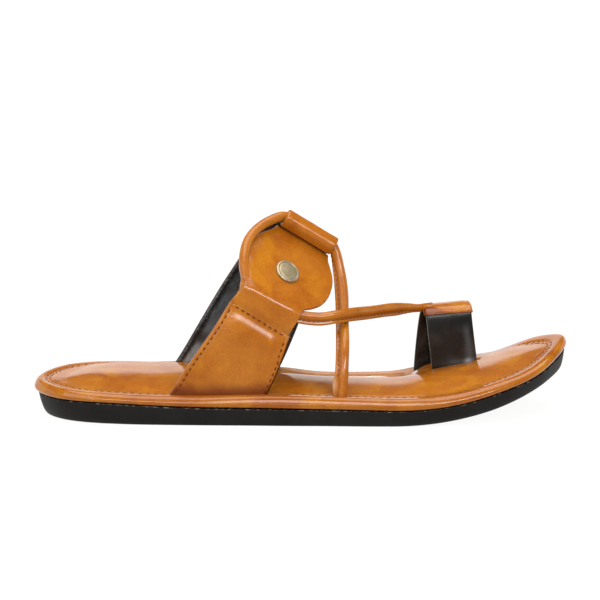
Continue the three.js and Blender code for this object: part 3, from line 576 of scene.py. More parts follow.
def black_sheet(name, tones, rough, shine, folds, grain):
    """Smooth black sheet; folds and grain are the strengths of its soft and fine creases."""
    nodes = material_nodes(name)
    clouds = nodes.noise(*SHEET_CLOUDS)
    # The paler mark carries painted reflections on the lining and the toe band, as well as the band's grey
    # raw edge
    colour = nodes.mix(nodes.mark(-1), nodes.ramp(clouds, tones), SHEET_EDGE_AND_SHEEN)
    soft, fine = nodes.noise(*SHEET_FOLDS), nodes.noise(*SHEET_GRAIN)
    bumps = [(soft, folds, SHEET_FOLD_DEPTH), (fine, grain, SHEET_GRAIN_DEPTH)]
    return nodes.surface(colour, nodes.spread(clouds, *rough), bumps, {"Specular IOR Level": shine})


def sole_rubber(name):
    """Matt black rubber with pale dust and a rough glue line along its top edge."""
    nodes = material_nodes(name)
    clouds = nodes.noise(*RUBBER_CLOUDS)
    dust = nodes.spread(nodes.noise(*RUBBER_FLECKS), *RUBBER_DUST_SPREAD)
    colour = nodes.mix(dust, nodes.ramp(clouds, RUBBER_TONES), RUBBER_DUST)
    glue = nodes.spread(nodes.noise(*RUBBER_GLUE), *RUBBER_GLUE_SPREAD)
    share = nodes.add("Math", {0: glue, 1: nodes.mark(-1)})
    share.operation = "MULTIPLY"
    colour = nodes.mix(share.outputs[0], colour, GLUE)
    roughness, bumps = nodes.spread(clouds, *RUBBER_ROUGH), [(nodes.noise(*RUBBER_GRAIN), *RUBBER_BUMP)]
    return nodes.surface(colour, roughness, bumps, {"Specular IOR Level": RUBBER_SHINE})


def aged_brass(name):
    """Antique brass: worn bright on the high parts, dark in the grooves."""
    nodes = material_nodes(name)
    clouds = nodes.noise(*BRASS_CLOUDS)
    colour = nodes.mix(nodes.mark(1), nodes.ramp(clouds, BRASS_TONES), BRASS_DEEP)
    bumps = [(nodes.noise(*BRASS_SCRATCHES), *BRASS_BUMP)]
    return nodes.surface(colour, nodes.spread(clouds, *BRASS_ROUGH), bumps, {"Metallic": BRASS_METAL})


def thread(name, tones):
    """Twisted sewing thread."""
    nodes = material_nodes(name)
    twist = nodes.noise(*THREAD_TWIST)
    colour, roughness = nodes.ramp(twist, tones), nodes.spread(twist, *THREAD_ROUGH)
    return nodes.surface(colour, roughness, [(twist, *THREAD_BUMP)], {"Specular IOR Level": THREAD_SHINE})


TAN = tan_leather("tan_leather_upper", rough=(0.17, 0.24), relief=0.08, patches=0.75, shine=0.4)
FOOTBED_TAN = tan_leather("tan_leather_footbed", rough=(0.07, 0.14), relief=0.04, patches=0.85, shine=0.48)
LINING = black_sheet("black_lining", LINING_TONES, rough=(0.19, 0.3), shine=0.9, folds=0.6, grain=0.5)
LOOP_BLACK = black_sheet("black_toe_band", BAND_TONES, rough=(0.21, 0.32), shine=0.4, folds=0.1, grain=0.06)
RUBBER = sole_rubber("black_sole_rubber")
BRASS = aged_brass("antique_brass")
THREAD_RED = thread("red_brown_thread", RED_TONES)
THREAD_BROWN = thread("brown_thread", BROWN_TONES)
THREAD_BLACK = thread("black_thread", BLACK_TONES)


# Plan of the sole and rings inside it; a place is an array whose last axis starts with x and y
def plan_edge(count):
    """Even points on the plan outline, the point of the spine that each one closes on, and its length."""
    inner = list(zip(PLAN["x"], PLAN["inner"]))
    outer = list(zip(PLAN["x"], PLAN["outer"]))[::-1]
    dense = spline([HEEL_END, *inner, TOE_END, *outer], closed=True)
    edge = by_length(dense, (np.arange(count) + 0.5) / count)
    return edge, spine_point(edge[:, 0]), run_of(dense)[-1]


def spine_point(x):
    x = np.clip(x, SPINE["x"][0], SPINE["x"][-1])
    return points_of(x, smooth(SPINE, "y", x))


def from_spine(place):
    return place[..., 1] - spine_point(place[..., 0])[..., 1]


def plan_ring(edge, centres, inset, share=1.0):
    """Points inside the plan outline: inset by a length, then at a share of the way out from the spine."""
    inward = unit(centres - edge) * np.broadcast_to(inset, len(edge))[:, None]
    return centres + (edge + inward - centres) * share


def profile_rows(profile, height, count):
    """Rows of (inset, share of the height) at even steps along a smooth profile."""
    dense = spline(np.array(profile) * [1, height])
    return by_length(dense, np.linspace(0, 1, count)) / [1, height]


def raised(place, height):
    return np.concatenate([place, height[..., None]], axis=-1)


def toe_spring(x):
    run = np.maximum(x - TOE_SPRING_START, 0)
    return TOE_SPRING_RADIUS - np.sqrt(TOE_SPRING_RADIUS ** 2 - run ** 2)


def sole_thickness(place):
    x = place[..., 0]
    return smooth(HEIGHTS, "sole", x) + smooth(HEIGHTS, "bank", x) * from_spine(place)


def swell(place):
    """Inner side of the footbed pushed up beside the inner strap and beside the toe band."""
    x = place[..., 0]
    lift = np.zeros_like(x)
    for start, end, most, outer in SWELLS:
        across = np.clip((from_spine(place) - outer) / (SWELL_FULL - outer), 0, 1)
        lift = lift + most * across * fade(x, start, start + SWELL_FADE) * fade(x, end, end - SWELL_FADE)
    return lift


def footbed_height(place, rise):
    """Height of the rim's line at a share of its rise."""
    x = place[..., 0]
    rim = smooth(HEIGHTS, "rim", x) + smooth(HEIGHTS, "tilt", x) * from_spine(place)
    return toe_spring(x) + sole_thickness(place) + FOOTBED_SEAT + rise * (rim + swell(place))


def pad_crown(x):
    return smooth(HEIGHTS, "crown", x) * smooth(PAD_FULL, "share", x)


def pad_sink(place):
    """How far the pad and groove lie below the rim on the inner side."""
    return smooth(HEIGHTS, "sink", place[..., 0]) * fade(from_spine(place), 0, SINK_REACH)


def flush_share(place):
    """Where the inner side lies almost level with the rim: beside the heel and beside the big toe."""
    x = place[..., 0]
    inner = fade(from_spine(place), 0, FLUSH_REACH) * (1 - smooth(HEIGHTS, "sink", x) / FLUSH_LIMIT)
    return inner * fade(x, *FLUSH_HEEL) * fade(x, *FLUSH_TOE)


def rim_drop(place):
    """How far the rim is drawn down where the pad lies level with it."""
    return FLUSH_RIM_DROP * flush_share(place)


def slot_mark(place):
    """1 in the two short slots that the toe band stands in, 0 elsewhere."""
    mark = np.zeros(place.shape[:-1])
    for x, y in SLOTS:
        beyond = np.abs(place[..., 0] - x) - LOOP_REACH
        mark = np.maximum(mark, fade(beyond, *SLOT_EDGE) * fade(np.abs(place[..., 1] - y), *SLOT_EDGE))
    return mark


def band_shadow(place):
    """Painted shadow and reflection of the toe band: 1 on the pad close in front of it, 0 away from it."""
    x, y = SLOTS[0]
    before = y - place[..., 1]
    beyond = np.abs(place[..., 0] - x) - LOOP_REACH
    return fade(before, *BAND_NEAR) * fade(before, *BAND_FAR) * fade(beyond, *BAND_SIDE)


def tread(place):
    """How far the underside is cut in: wavy ribs across the sole."""
    wave = TREAD_WAVE * np.sin(place[..., 1] * TURN / TREAD_WAVE_LENGTH)
    return TREAD_DEPTH * fade(np.cos((place[..., 0] + wave) * TURN / TREAD_PITCH), *TREAD_RIB)


def make_outsole():
    """Outsole in rows of (inset, share, rise, change of height, mark): tread, wall and top."""
    edge, centres, _ = plan_edge(SOLE_AROUND)
    lean = smooth(HEIGHTS, "wall", edge[:, 0])
    rows = []
    for share in TREAD_SHARES:
        place = plan_ring(edge, centres, SOLE_WALL[0][0] * lean, share)
        rows.append((SOLE_WALL[0][0], share, 0, tread(place) * fade(share, *TREAD_END), 0))
    for inset, rise in profile_rows(SOLE_WALL, SOLE_WALL_HEIGHT, SOLE_WALL_ROWS):
        rows.append((inset, 1, rise, 0, -fade(rise, *GLUE_LINE)))
    rows += [(inset, share, 1, -drop, -1 if share == 1 else 0) for inset, share, drop in SOLE_TOP]
    rings, marks = [], []
    for inset, share, rise, change, mark in rows:
        place = plan_ring(edge, centres, inset * lean, share)
        rings.append(raised(place, toe_spring(place[:, 0]) + rise * sole_thickness(place) + change))
        marks.append(np.full(len(edge), float(mark)))
    loft("moulded_outsole", "outsole", rings, marks, [RUBBER])


def footbed_rim(edge, centres, along):
    """Rings of the rolled rim with their marks, from under the footbed to the top of the rim."""
    under = plan_ring(edge, centres, RIM[0][0], INNER_RING)
    rows = [(raised(under, footbed_height(under, 0)), np.zeros(len(edge)))]
    rounder = RIM_TOE_ROUND * fade(edge[:, 0], *RIM_TOE) * fade(from_spine(edge), *RIM_TOE_SIDE)
    for inset, rise in profile_rows(RIM, RIM_HEIGHT, RIM_ROWS):
        place = plan_ring(edge, centres, inset * (1 + rounder * (rise > RIM_WIDEST)))
        top = fade(rise, *RIM_TOP)
        change = ripple(along, rise * RIM_WAVES, *RIM_UNEVEN) - rim_drop(place)
        dark = RIM_FOOT_DARK * fade(rise, *RIM_FOOT) + RIM_DEEP * fade(from_spine(place), *RIM_DEEP_SIDE)
        # The paler share is a painted reflection of the bright wall on the far rim's top, where the pad is
        # sunk
        pale = RIM_PAINTED_SHEEN * top * fade(pad_sink(place), *RIM_SHEEN_SINK)
        rows.append((raised(place, footbed_height(place, rise) + top * change), dark - pale))
    return rows


def footbed_groove(edge, centres, along, line_inset, dents):
    """Rings of the stitched groove with their marks, and the two lines of its stitches."""
    rows, lines = [], []
    for offset, drop in GROOVE:
        place = plan_ring(edge, centres, line_inset + offset)
        near_line = max(hump(offset, line, STITCH_LINE_WIDTH) for line in STITCH_LINES)
        flush = flush_share(place)
        shallow = mixed(1, FLUSH_DROP, flush)
        lift = FLUSH_LIFT * flush * pad_crown(place[:, 0]) * fade(offset, 0, GROOVE_END)
        sunk = pad_sink(place) * fade(offset, GROOVE_START, 0)
        sunk = sunk + rim_drop(place) * fade(offset, GROOVE_START + FLUSH_RIM_WIDTH, GROOVE_START)
        level = footbed_height(place, 1) + drop * shallow - sunk + lift
        uneven = ripple(along, offset, *GROOVE_UNEVEN) - DENT_DEPTH * near_line * dents
        dark = near_line * (STITCH_LINE_DARK + DENT_DARK * dents) * (1 - flush)
        # Painted reflection of the bright wall on the rim side of the groove, where the pad is sunk
        pale = RIM_PAINTED_SHEEN * fade(pad_sink(place), *RIM_SHEEN_SINK) * fade(offset, *RIM_SHEEN_END)
        rows.append((raised(place, level + uneven * shallow), dark - pale))
        if offset in STITCH_LINES:
            lines.append(raised(place, level - STITCH_LINE_SUNK))
    return rows, lines


def footbed_pad(edge, centres, pad_inset):
    """Rings of the crowned pad with their marks, from the groove in to the spine."""
    rows = []
    for share in PAD_SHARES:
        place = plan_ring(edge, centres, pad_inset, share)
        x, y = place.T
        flush = flush_share(place)
        crown = pad_crown(x) * (1 - share ** PAD_ROUNDNESS * (1 - FLUSH_LIFT * flush))
        uneven = ripple(x, y, *PAD_UNEVEN) + ripple(y, x, *PAD_FINE_UNEVEN)
        level = footbed_height(place, 1) + GROOVE[-1][1] * mixed(1, FLUSH_DROP, flush) - pad_sink(place)
        slot = slot_mark(place)
        # Painted shade in the slots, and painted shadow and reflection of the toe band on the pad in front of
        # it
        dark = np.maximum(SLOT_PAINTED_SHADE * slot, BAND_PAINTED_SHADOW * band_shadow(place))
        rows.append((raised(place, level + crown + uneven - slot), dark))
    return rows


def sew_footbed(lines, pitch):
    """Stitches in the groove, apart from where the inner side lies almost level with the rim."""
    hidden = flush_share(lines[-1]) > FLUSH_HIDES
    shown = np.roll(np.arange(FOOTBED_AROUND), -int(np.argmax(hidden)))
    shown = shown[~hidden[shown]]
    breaks = np.where(np.abs(np.diff(np.unwrap(shown, period=FOOTBED_AROUND))) > 1)[0] + 1
    parts = [line[part] for line in lines for part in np.split(shown, breaks)]
    rows = [(part, np.tile([0.0, 0, 1], (len(part), 1))) for part in parts]
    stitches("stitches_footbed", THREAD_BROWN, rows, pitch, FOOTBED_DASH)


def make_footbed():
    """Padded footbed with its rolled rim, stitched groove, flat margin and crowned pad."""
    edge, centres, perimeter = plan_edge(FOOTBED_AROUND)
    along = np.arange(FOOTBED_AROUND) / FOOTBED_AROUND * perimeter
    pitch = perimeter / round(perimeter / FOOTBED_PITCH)
    dents = hump(along / pitch % 1, 0.5, DENT_WIDTH)
    line_inset = mixed(*STITCH_LINE_INSET, (edge[:, 0] - HEEL_END[0]) / (TOE_END[0] - HEEL_END[0]))
    pad_inset = line_inset + GROOVE_END + HEEL_MARGIN * hump(edge[:, 0], HEEL_END[0], HEEL_MARGIN_REACH)
    groove, lines = footbed_groove(edge, centres, along, line_inset, dents)
    rows = footbed_rim(edge, centres, along) + groove + footbed_pad(edge, centres, pad_inset)
    rings, marks = zip(*rows)
    piece = loft("padded_footbed", "footbed", rings, marks, [FOOTBED_TAN])
    sew_footbed(lines, pitch)


# Straps in the instep frame
def instep(along, y, up):
    """Points of the instep frame in the slipper's frame."""
    along, y, up = np.broadcast_arrays(along, y, up)
    x = INSTEP_X + up * math.sin(LEAN) + along * math.cos(LEAN)
    z = INSTEP_Z + up * math.cos(LEAN) - along * math.sin(LEAN)
    return points_of(x, y, z).astype(float)


def instep_way(along, y, up):
    """Directions of the instep frame in the slipper's frame."""
    return instep(along, y, up) - instep(0, 0, 0)


UP_AXIS = instep_way(0, 0, 1)
ALONG_AXIS = instep_way(1, 0, 0)


def strap_path(rows, side):
    """Stations of a strap at even steps of height, with outward normals."""
    bottom, top = rows["up"][[0, -1]]
    up = np.linspace(bottom, top, STRAP_ROWS)
    above, below = np.minimum(up + STRAP_STEP, top), np.maximum(up - STRAP_STEP, bottom)
    shift = smooth(rows, "y", above) - smooth(rows, "y", below)
    length = np.hypot(above - below, shift)
    half = np.full(STRAP_ROWS, STRAP_HALF)
    return {
        "y": smooth(rows, "y", up), "up": up,
        "normal_y": side * (above - below) / length, "normal_up": -side * shift / length,
        "inside": half, "outside": half,
        "rear": smooth(rows, "rear", up), "front": smooth(rows, "front", up),
    }


def path_through(points, side):
    """Normals of a path of (y, up) points; outward is to the left of the path for side 1."""
    heading = unit(np.gradient(points, axis=0))
    return {"y": points[:, 0], "up": points[:, 1],
            "normal_y": -side * heading[:, 1], "normal_up": side * heading[:, 0]}


def seam_point(offset):
    """Point (y, up) at the top of the outer strap, offset outwards from its middle."""
    path = strap_path(LATERAL, -1)
    return np.array([path[key][-1] + path["normal_" + key][-1] * offset for key in ("y", "up")])


def touch_tunnel(start, radius, side):
    """Heading and length of the line from a point (y, up) that touches a circle round the tunnel."""
    y, up = TUNNEL - start
    distance = math.hypot(y, up)
    return math.atan2(up, y) - side * math.asin(radius / distance), math.sqrt(distance ** 2 - radius ** 2)


def strip(path, puff):
    """Rings of a strap with round edges; puff(along, path) lifts its outer face."""
    column = {key: value[:, None] for key, value in path.items()}
    edge = (column["inside"] + column["outside"]) / 2
    middle = (column["outside"] - column["inside"]) / 2
    even = np.linspace(0, 1, FACE_POINTS)
    shares = mixed(even, (1 - np.cos(math.pi * even)) / 2, EDGE_GATHER)
    face = mixed(column["rear"] + edge, column["front"] - edge, shares)
    turn = np.linspace(math.pi / 2, -math.pi / 2, EDGE_POINTS + 2)[1:-1]
    front = column["front"] - edge + edge * np.cos(turn)
    rear = column["rear"] + edge - edge * np.cos(turn[::-1])
    along = np.concatenate([face, front, face[:, ::-1], rear], axis=1)
    offset = np.concatenate([
        column["outside"] + puff(face, path), middle + edge * np.sin(turn),
        np.broadcast_to(-column["inside"], face.shape), middle + edge * np.sin(turn[::-1])], axis=1)
    y, up = (column[key] + column["normal_" + key] * offset for key in ("y", "up"))
    rings = instep(along, y, up)
    normals = instep_way(0, path["normal_y"], path["normal_up"])
    return {"rings": rings, "along": along, "normals": normals, "path": path}


def above_footbed(made):
    return made["rings"][..., 2] - footbed_height(made["rings"], 1)


def stand_in_footbed(made, last):
    """Starts each column of a strap just under the footbed's top, and spreads its rows up to a last row."""
    above = above_footbed(made) + pad_sink(made["rings"]) + STRAP_SUNK
    rows = np.arange(last + 1)
    for column in range(above.shape[1]):
        first = int(np.argmax(above[:last, column] > 0))
        start = first - above[first, column] / (above[first, column] - above[first - 1, column])
        at = mixed(start, last, rows / last)
        for values in (*np.moveaxis(made["rings"], -1, 0), made["along"]):
            values[:last + 1, column] = np.interp(at, rows, values[:last + 1, column])


def lined_columns(front, rear):
    """Columns of a strip: 1 for the lining inside, 0 for the tan, which turns in at the two edges."""
    return np.repeat([0, 1, 0], [FACE_POINTS + front, FACE_POINTS + 2 * EDGE_POINTS - front - rear, rear])


def on_face(made, row, along, inner=False):
    """Points on the outer or inner face of a strip at one row, at places along it."""
    first = FACE_POINTS + EDGE_POINTS if inner else 0
    order = slice(None, None, -1 if inner else 1)
    ring, places = (made[key][row, first:first + FACE_POINTS][order] for key in ("rings", "along"))
    return sample(along, places, ring)


def edge_lines(made, rows, inner=False):
    """Lines of points with normals beside the two edges of a strip."""
    path = made["path"]
    lines = []
    for along in (path["rear"] + STITCH_INSET, path["front"] - STITCH_INSET):
        points = np.array([on_face(made, row, along[row], inner) for row in rows])
        lines.append((points, made["normals"][rows] * (-1 if inner else 1)))
    return lines


def cross_line(made, row):
    """Line of points with normals across the outer face of a strip."""
    path = made["path"]
    along = np.linspace(path["rear"][row] + STITCH_INSET, path["front"][row] - STITCH_INSET, CROSS_POINTS)
    return on_face(made, row, along), np.tile(made["normals"][row], (CROSS_POINTS, 1))


def sew_strap(name, made, rows, dash, more_lines=()):
    """Red-brown stitches beside the edges of a strap, and black ones on its lining."""
    lines = edge_lines(made, rows) + list(more_lines)
    stitches(f"stitches_{name}_strap", THREAD_RED, lines, STRAP_PITCH, dash)
    lines = edge_lines(made, rows, True)
    stitches(f"stitches_{name}_lining", THREAD_BLACK, lines, STRAP_PITCH, LINING_DASH)


def edge_distance(along, path):
    return np.minimum(along - path["rear"][:, None], path["front"][:, None] - along)


def lateral_puff(along, path):
    """Padded outer strap: pulled down at the seam, full just under it, pulled in at the stitches."""
    inset = edge_distance(along, path)
    behind = along - path["rear"][:, None]
    below = (SEAM_UP - path["up"])[:, None]
    rise = fade(below, *END_RISE) * fade(inset, *END_EDGE)
    full = mixed(END_FULL, STRAP_FULL, fade(below, *END_FALL))
    bulge = SEAM_DROP * fade(below, *SEAM_FADE) * (1 - rise) + full * rise
    groove = -OUTER_PULL * hump(inset, STITCH_INSET, OUTER_PULL_WIDTH) * fade(below, *OUTER_PULL_END)
    crease = -CREASE_DEPTH * np.sin((behind * CREASE_SLANT + below) * CREASE_WAVES)
    crease = crease * hump(behind, *CREASE_BEHIND) * hump(below, *CREASE_BELOW) * fade(inset, *CREASE_EDGE)
    sway = ripple(along, path["up"][:, None], *OUTER_UNEVEN)
    sway = sway * fade(inset, *OUTER_UNEVEN_EDGE) * fade(below, *OUTER_UNEVEN_END)
    return np.where(below >= 0, bulge + groove + crease + sway, 0)


def make_outer_strap():
    """Outer strap; above its seam, one thin layer of it runs on under the rolled strap."""
    start = seam_point(LAYER / 2 - STRAP_HALF)
    heading, length = touch_tunnel(start, CORD_RADIUS + SEAT + LAYER_GAP + LAYER / 2, 1)
    ahead = np.linspace(LAYER_START, length + LAYER_BEYOND, LAYER_ROWS)
    layer = path_through(start + ahead[:, None] * around(heading), 1)
    layer |= {"inside": LAYER / 2, "outside": LAYER / 2, "rear": TAB_REAR, "front": TAB_FRONT}
    path = {key: np.append(value, np.broadcast_to(layer[key], LAYER_ROWS))
            for key, value in strap_path(LATERAL, -1).items()}
    made = strip(path, lateral_puff)
    lining_edge = slice(FACE_POINTS + EDGE_POINTS // 2 + 1, FACE_POINTS + EDGE_POINTS + LINING_OUT_POINTS)
    made["rings"][:STRAP_ROWS, lining_edge] += LINING_OUT * ALONG_AXIS
    stand_in_footbed(made, STRAP_ROWS - LAYER_FREE)
    above = above_footbed(made)
    columns = lined_columns(*LINED_EDGES)
    # Painted shade: the tan is darkened at the strap's foot, near the footbed
    uneven = ripple(made["along"], above, *OUTER_SHADE_UNEVEN)
    shade = OUTER_PAINTED_SHADE * fade(above - uneven, *OUTER_SHADE_FOOT) * (columns == 0)
    loft("outer_strap", "strap_lateral", made["rings"], shade, [TAN, LINING], columns)
    sew_strap("outer", made, np.arange(*OUTER_STITCHED), OUTER_DASH, [cross_line(made, OUTER_SEAM_ROW)])


def inner_path():
    """Path of the inner strap up from the footbed and round the rolled strap, and where its roll starts."""
    straight = strap_path(MEDIAL, 1)
    wall = ROLL_RADIUS - CORD_RADIUS - SEAT
    turn_radius = ROLL_RADIUS - wall / 2
    angles = np.linspace(ROLL_START, ROLL_START + ROLL_TURN, ROLL_ROWS)
    squared = turn_radius * (1 + ROLL_SQUARE * np.cos(4 * (angles - ROLL_CORNER)))
    wrap = ROLL + squared[:, None] * around(angles)
    rising = points_of(straight["y"], straight["up"])
    line = spline(np.vstack([rising[::RISING_SKIP], wrap[::WRAP_SKIP]]), per=INNER_SPLINE_STEPS)
    path = path_through(line, -1)
    run = run_of(line)
    roll_start = run[-1] - turn_radius * ROLL_TURN
    in_roll = fade(run - roll_start, *INNER_ROLL_FADE)
    up = np.minimum(np.maximum.accumulate(path["up"]), MEDIAL["up"][-1])
    path["inside"] = path["outside"] = mixed(STRAP_HALF, wall / 2, in_roll)
    path["rear"] = mixed(smooth(MEDIAL, "rear", up), ROLL_REAR, in_roll)
    path["front"] = mixed(smooth(MEDIAL, "front", up), ROLL_FRONT, in_roll)
    return path, run, in_roll, roll_start


def make_inner_strap():
    """Inner strap; its end goes over the rolled strap and round it, and makes the roll."""
    path, run, in_roll, roll_start = inner_path()

    def puff(along, whole):
        inset = edge_distance(along, whole)
        bulge = INNER_FULL * fade(inset, *INNER_EDGE)
        bulge = bulge - INNER_PULL * hump(inset, STITCH_INSET, INNER_PULL_WIDTH)
        uneven = ripple(along, run[:, None], *INNER_UNEVEN) * fade(inset, *INNER_UNEVEN_EDGE)
        return bulge * (1 - in_roll[:, None]) + uneven

    made = strip(path, puff)
    stand_in_footbed(made, int(np.argmax(run > INNER_STANDS)))
    above = above_footbed(made)
    columns = lined_columns(*COVERED_EDGES)
    # Painted reflection: the share called worn here paints the lining paler in soft patches, most towards its
    # foot and away from its edges
    worn = (LINING_SHEEN_HIGH + LINING_SHEEN_LOW * fade(above, *LINING_SHEEN_LOW_FADE)) * fade(above, *LINING_SHEEN_TOP)
    worn = worn * fade(LINING_SHEEN_EVEN + ripple(made["along"], above, *LINING_SHEEN_UNEVEN), 0, 1)
    shade = -LINING_PAINTED_SHEEN * worn * fade(edge_distance(made["along"], path), *LINING_SHEEN_EDGE) * (columns == 1)
    rear_edge = slice(-COVERED_EDGES[1], None)
    shade[:, rear_edge] = fade(above[:, rear_edge], *INNER_DARK_FOOT)
    loft("inner_strap_and_roll", "strap_medial", made["rings"], shade, [TAN, LINING], columns)
    rows = np.where((run > INNER_STITCHED[0]) & (run < roll_start + INNER_STITCHED[1]))[0]
    sew_strap("inner", made, rows, INNER_DASH)


def soft_larger(first, second, curve):
    """The larger of two values, with a rounded change between them."""
    return (first + second + np.sqrt((first - second) ** 2 + curve ** 2)) / 2


def keeper_path():
    """Path of the keeper: from inside the seam, up the tab, over the tunnel and under the roll."""
    start = seam_point(STRAP_HALF - KEEPER_HALF) + [0, TAB_LIFT]
    bend = TUNNEL_RADIUS + SEAT + KEEPER_HALF
    heading, climb = touch_tunnel(start, bend, -1)
    y, up = ROLL - TUNNEL
    to_roll = math.atan2(up, y)
    disc_heading = to_roll - math.asin((bend + ROLL_RADIUS + SEAT + KEEPER_HALF) / ROLL_APART)
    tab = np.linspace(TAB_START, climb, TAB_ROWS + 1)[:-1]
    sunk = TAB_SUNK * fade(tab, *TAB_SUNK_FADE)
    on_tab = start + tab[:, None] * around(heading) - sunk[:, None] * around(heading + TURN / 4)
    fold = TUNNEL + bend * around(np.linspace(heading, disc_heading, FOLD_ROWS) + TURN / 4)
    length = np.linspace(0, DISC_END, DISC_ROWS + 1)[1:]
    disc = fold[-1] + length[:, None] * around(disc_heading)
    path = path_through(np.vstack([on_tab, fold, disc]), 1)
    on_disc = np.concatenate([np.full(TAB_ROWS + FOLD_ROWS, -1.0), length])
    off = on_disc - DISC_CENTRE
    half = np.where(on_disc > 0, np.sqrt(np.clip(DISC_RADIUS ** 2 - off ** 2, 0, None)), 0)
    curve = NECK_CURVE * fade(off, *NECK_FADE)
    rear_curve = curve + HIP_CURVE * fade(off, *HIP_FADE) * fade(on_disc, *HIP_START)
    path["rear"] = -soft_larger(half, np.where(off < 0, -TAB_REAR, -NECK_REAR), rear_curve)
    path["rear"][:TAB_ROWS] -= TAB_FLARE * fade(tab, climb, 0)
    path["front"] = soft_larger(half + DISC_FORWARD, np.where(off < 0, TAB_FRONT, NECK_FRONT), curve)
    path["inside"], path["outside"] = np.full((2, len(on_disc)), KEEPER_HALF)
    path["inside"][:TAB_ROWS] -= TAB_THIN * sunk
    slant = np.concatenate([fade(tab, 0, climb), np.ones(FOLD_ROWS), fade(length, *FOLD_FADE)])
    return path, on_disc, fold[-1], disc_heading, FOLD_SLANT * slant


def make_keeper():
    """Keeper with its rivet; its cut edge is worn dark in front and paler at the rear of the disc."""
    path, on_disc, corner, heading, slant = keeper_path()

    def puff(along, whole):
        inset = edge_distance(along, whole)
        uneven = ripple(along, (on_disc + whole["up"])[:, None], *KEEPER_UNEVEN)
        return KEEPER_FULL * fade(inset, *KEEPER_EDGE) + uneven * fade(inset, *KEEPER_UNEVEN_EDGE)

    made = strip(path, puff)
    made["rings"] += UP_AXIS * (slant[:, None] * (made["along"] - FOLD_PIVOT))[..., None]
    columns = lined_columns(*LINED_EDGES)
    shade = np.zeros((len(on_disc), len(columns)))
    worn = fade(ripple(on_disc, 0, *DISC_WORN_WAVES), *DISC_WORN) * fade(on_disc, *DISC_WORN_START)
    shade[:, FACE_POINTS - 1:FACE_POINTS + LINED_EDGES[0]] = DISC_DARK * worn[:, None]
    shade[:, -LINED_EDGES[1]:] = -DISC_PALE * fade(on_disc, *DISC_PALE_FADE)[:, None]
    loft("keeper_tab_and_disc", "keeper_disc", made["rings"], shade, [TAN, LINING], columns)
    make_rivet(corner, heading)


def make_rivet(corner, heading):
    """Plain flat cap with one turned ring."""
    normal = around(heading + TURN / 4)
    place = corner + around(heading) * RIVET_LENGTH + normal * (KEEPER_HALF + RIVET_SEAT)
    base, axis = instep(RIVET_ALONG, *place), instep_way(0, *normal)
    spoke = around(np.arange(RIVET_SIDES) * TURN / RIVET_SIDES) @ [ALONG_AXIS, np.cross(axis, ALONG_AXIS)]
    radius, height = spline(RIVET_PROFILE, per=RIVET_SPLINE_STEPS).T
    rings = base + height[:, None, None] * axis + RIVET_SCALE * radius[:, None, None] * spoke
    groove, foot = hump(radius, *RIVET_GROOVE), hump(height, *RIVET_FOOT)
    shade = np.repeat(np.maximum(RIVET_GROOVE_DARK * groove, RIVET_FOOT_DARK * foot), RIVET_SIDES)
    loft("brass_rivet_cap", "rivet", rings, shade, [BRASS])


# Rolled strap
def cord_knots():
    """Points of the route, with the way that the lip faces at each."""
    knots = [(point, LIP_FROM_SOLE) for point in CORD_FROM_SOLE]
    for share in STRAIGHT_SHARES:
        knots.append((instep(mixed(ROLL_FRONT - CORD_TURN, ROLL_REAR, share), *ROLL), LIP_INSIDE))
    for along, across in CORD_ROUND_DISC:
        knots.append((instep(along, *mixed(TUNNEL, ROLL, across / ROLL_APART)), LIP_INSIDE))
    for share, lip in zip(STRAIGHT_SHARES, LIP_IN_TUNNEL):
        along = mixed(TAB_REAR + CORD_TURN, TAB_FRONT - CORD_TURN, share)
        slant = FOLD_SLANT * (along - FOLD_PIVOT)
        knots.append((instep(along, *(TUNNEL + [0, slant])), lip))
    knots += [(point, LIP_DOWN) for point in CORD_TO_TOE]
    return (np.array(column, float) for column in zip(*knots))


def cord_section():
    """Section of the rolled strap: (towards the lip, across it)."""
    meet = math.asin(CORD_LIP_HALF / CORD_ROLL)
    arc = np.linspace(meet + CORD_CREASE, TURN - meet - CORD_CREASE, CORD_ARC)
    tip = np.linspace(-TURN / 4, TURN / 4, CORD_LIP_TIP)
    round_tip = CORD_LIP_HALF * around(tip) + [CORD_LIP - CORD_LIP_HALF, 0]
    foot = np.array(CORD_WAIST) * [1, -1] + [CORD_ROLL * math.cos(meet), -CORD_LIP_HALF]
    return np.vstack([CORD_ROLL * around(arc), foot, round_tip, foot[::-1] * [1, -1]]) + [CORD_SHIFT, 0]


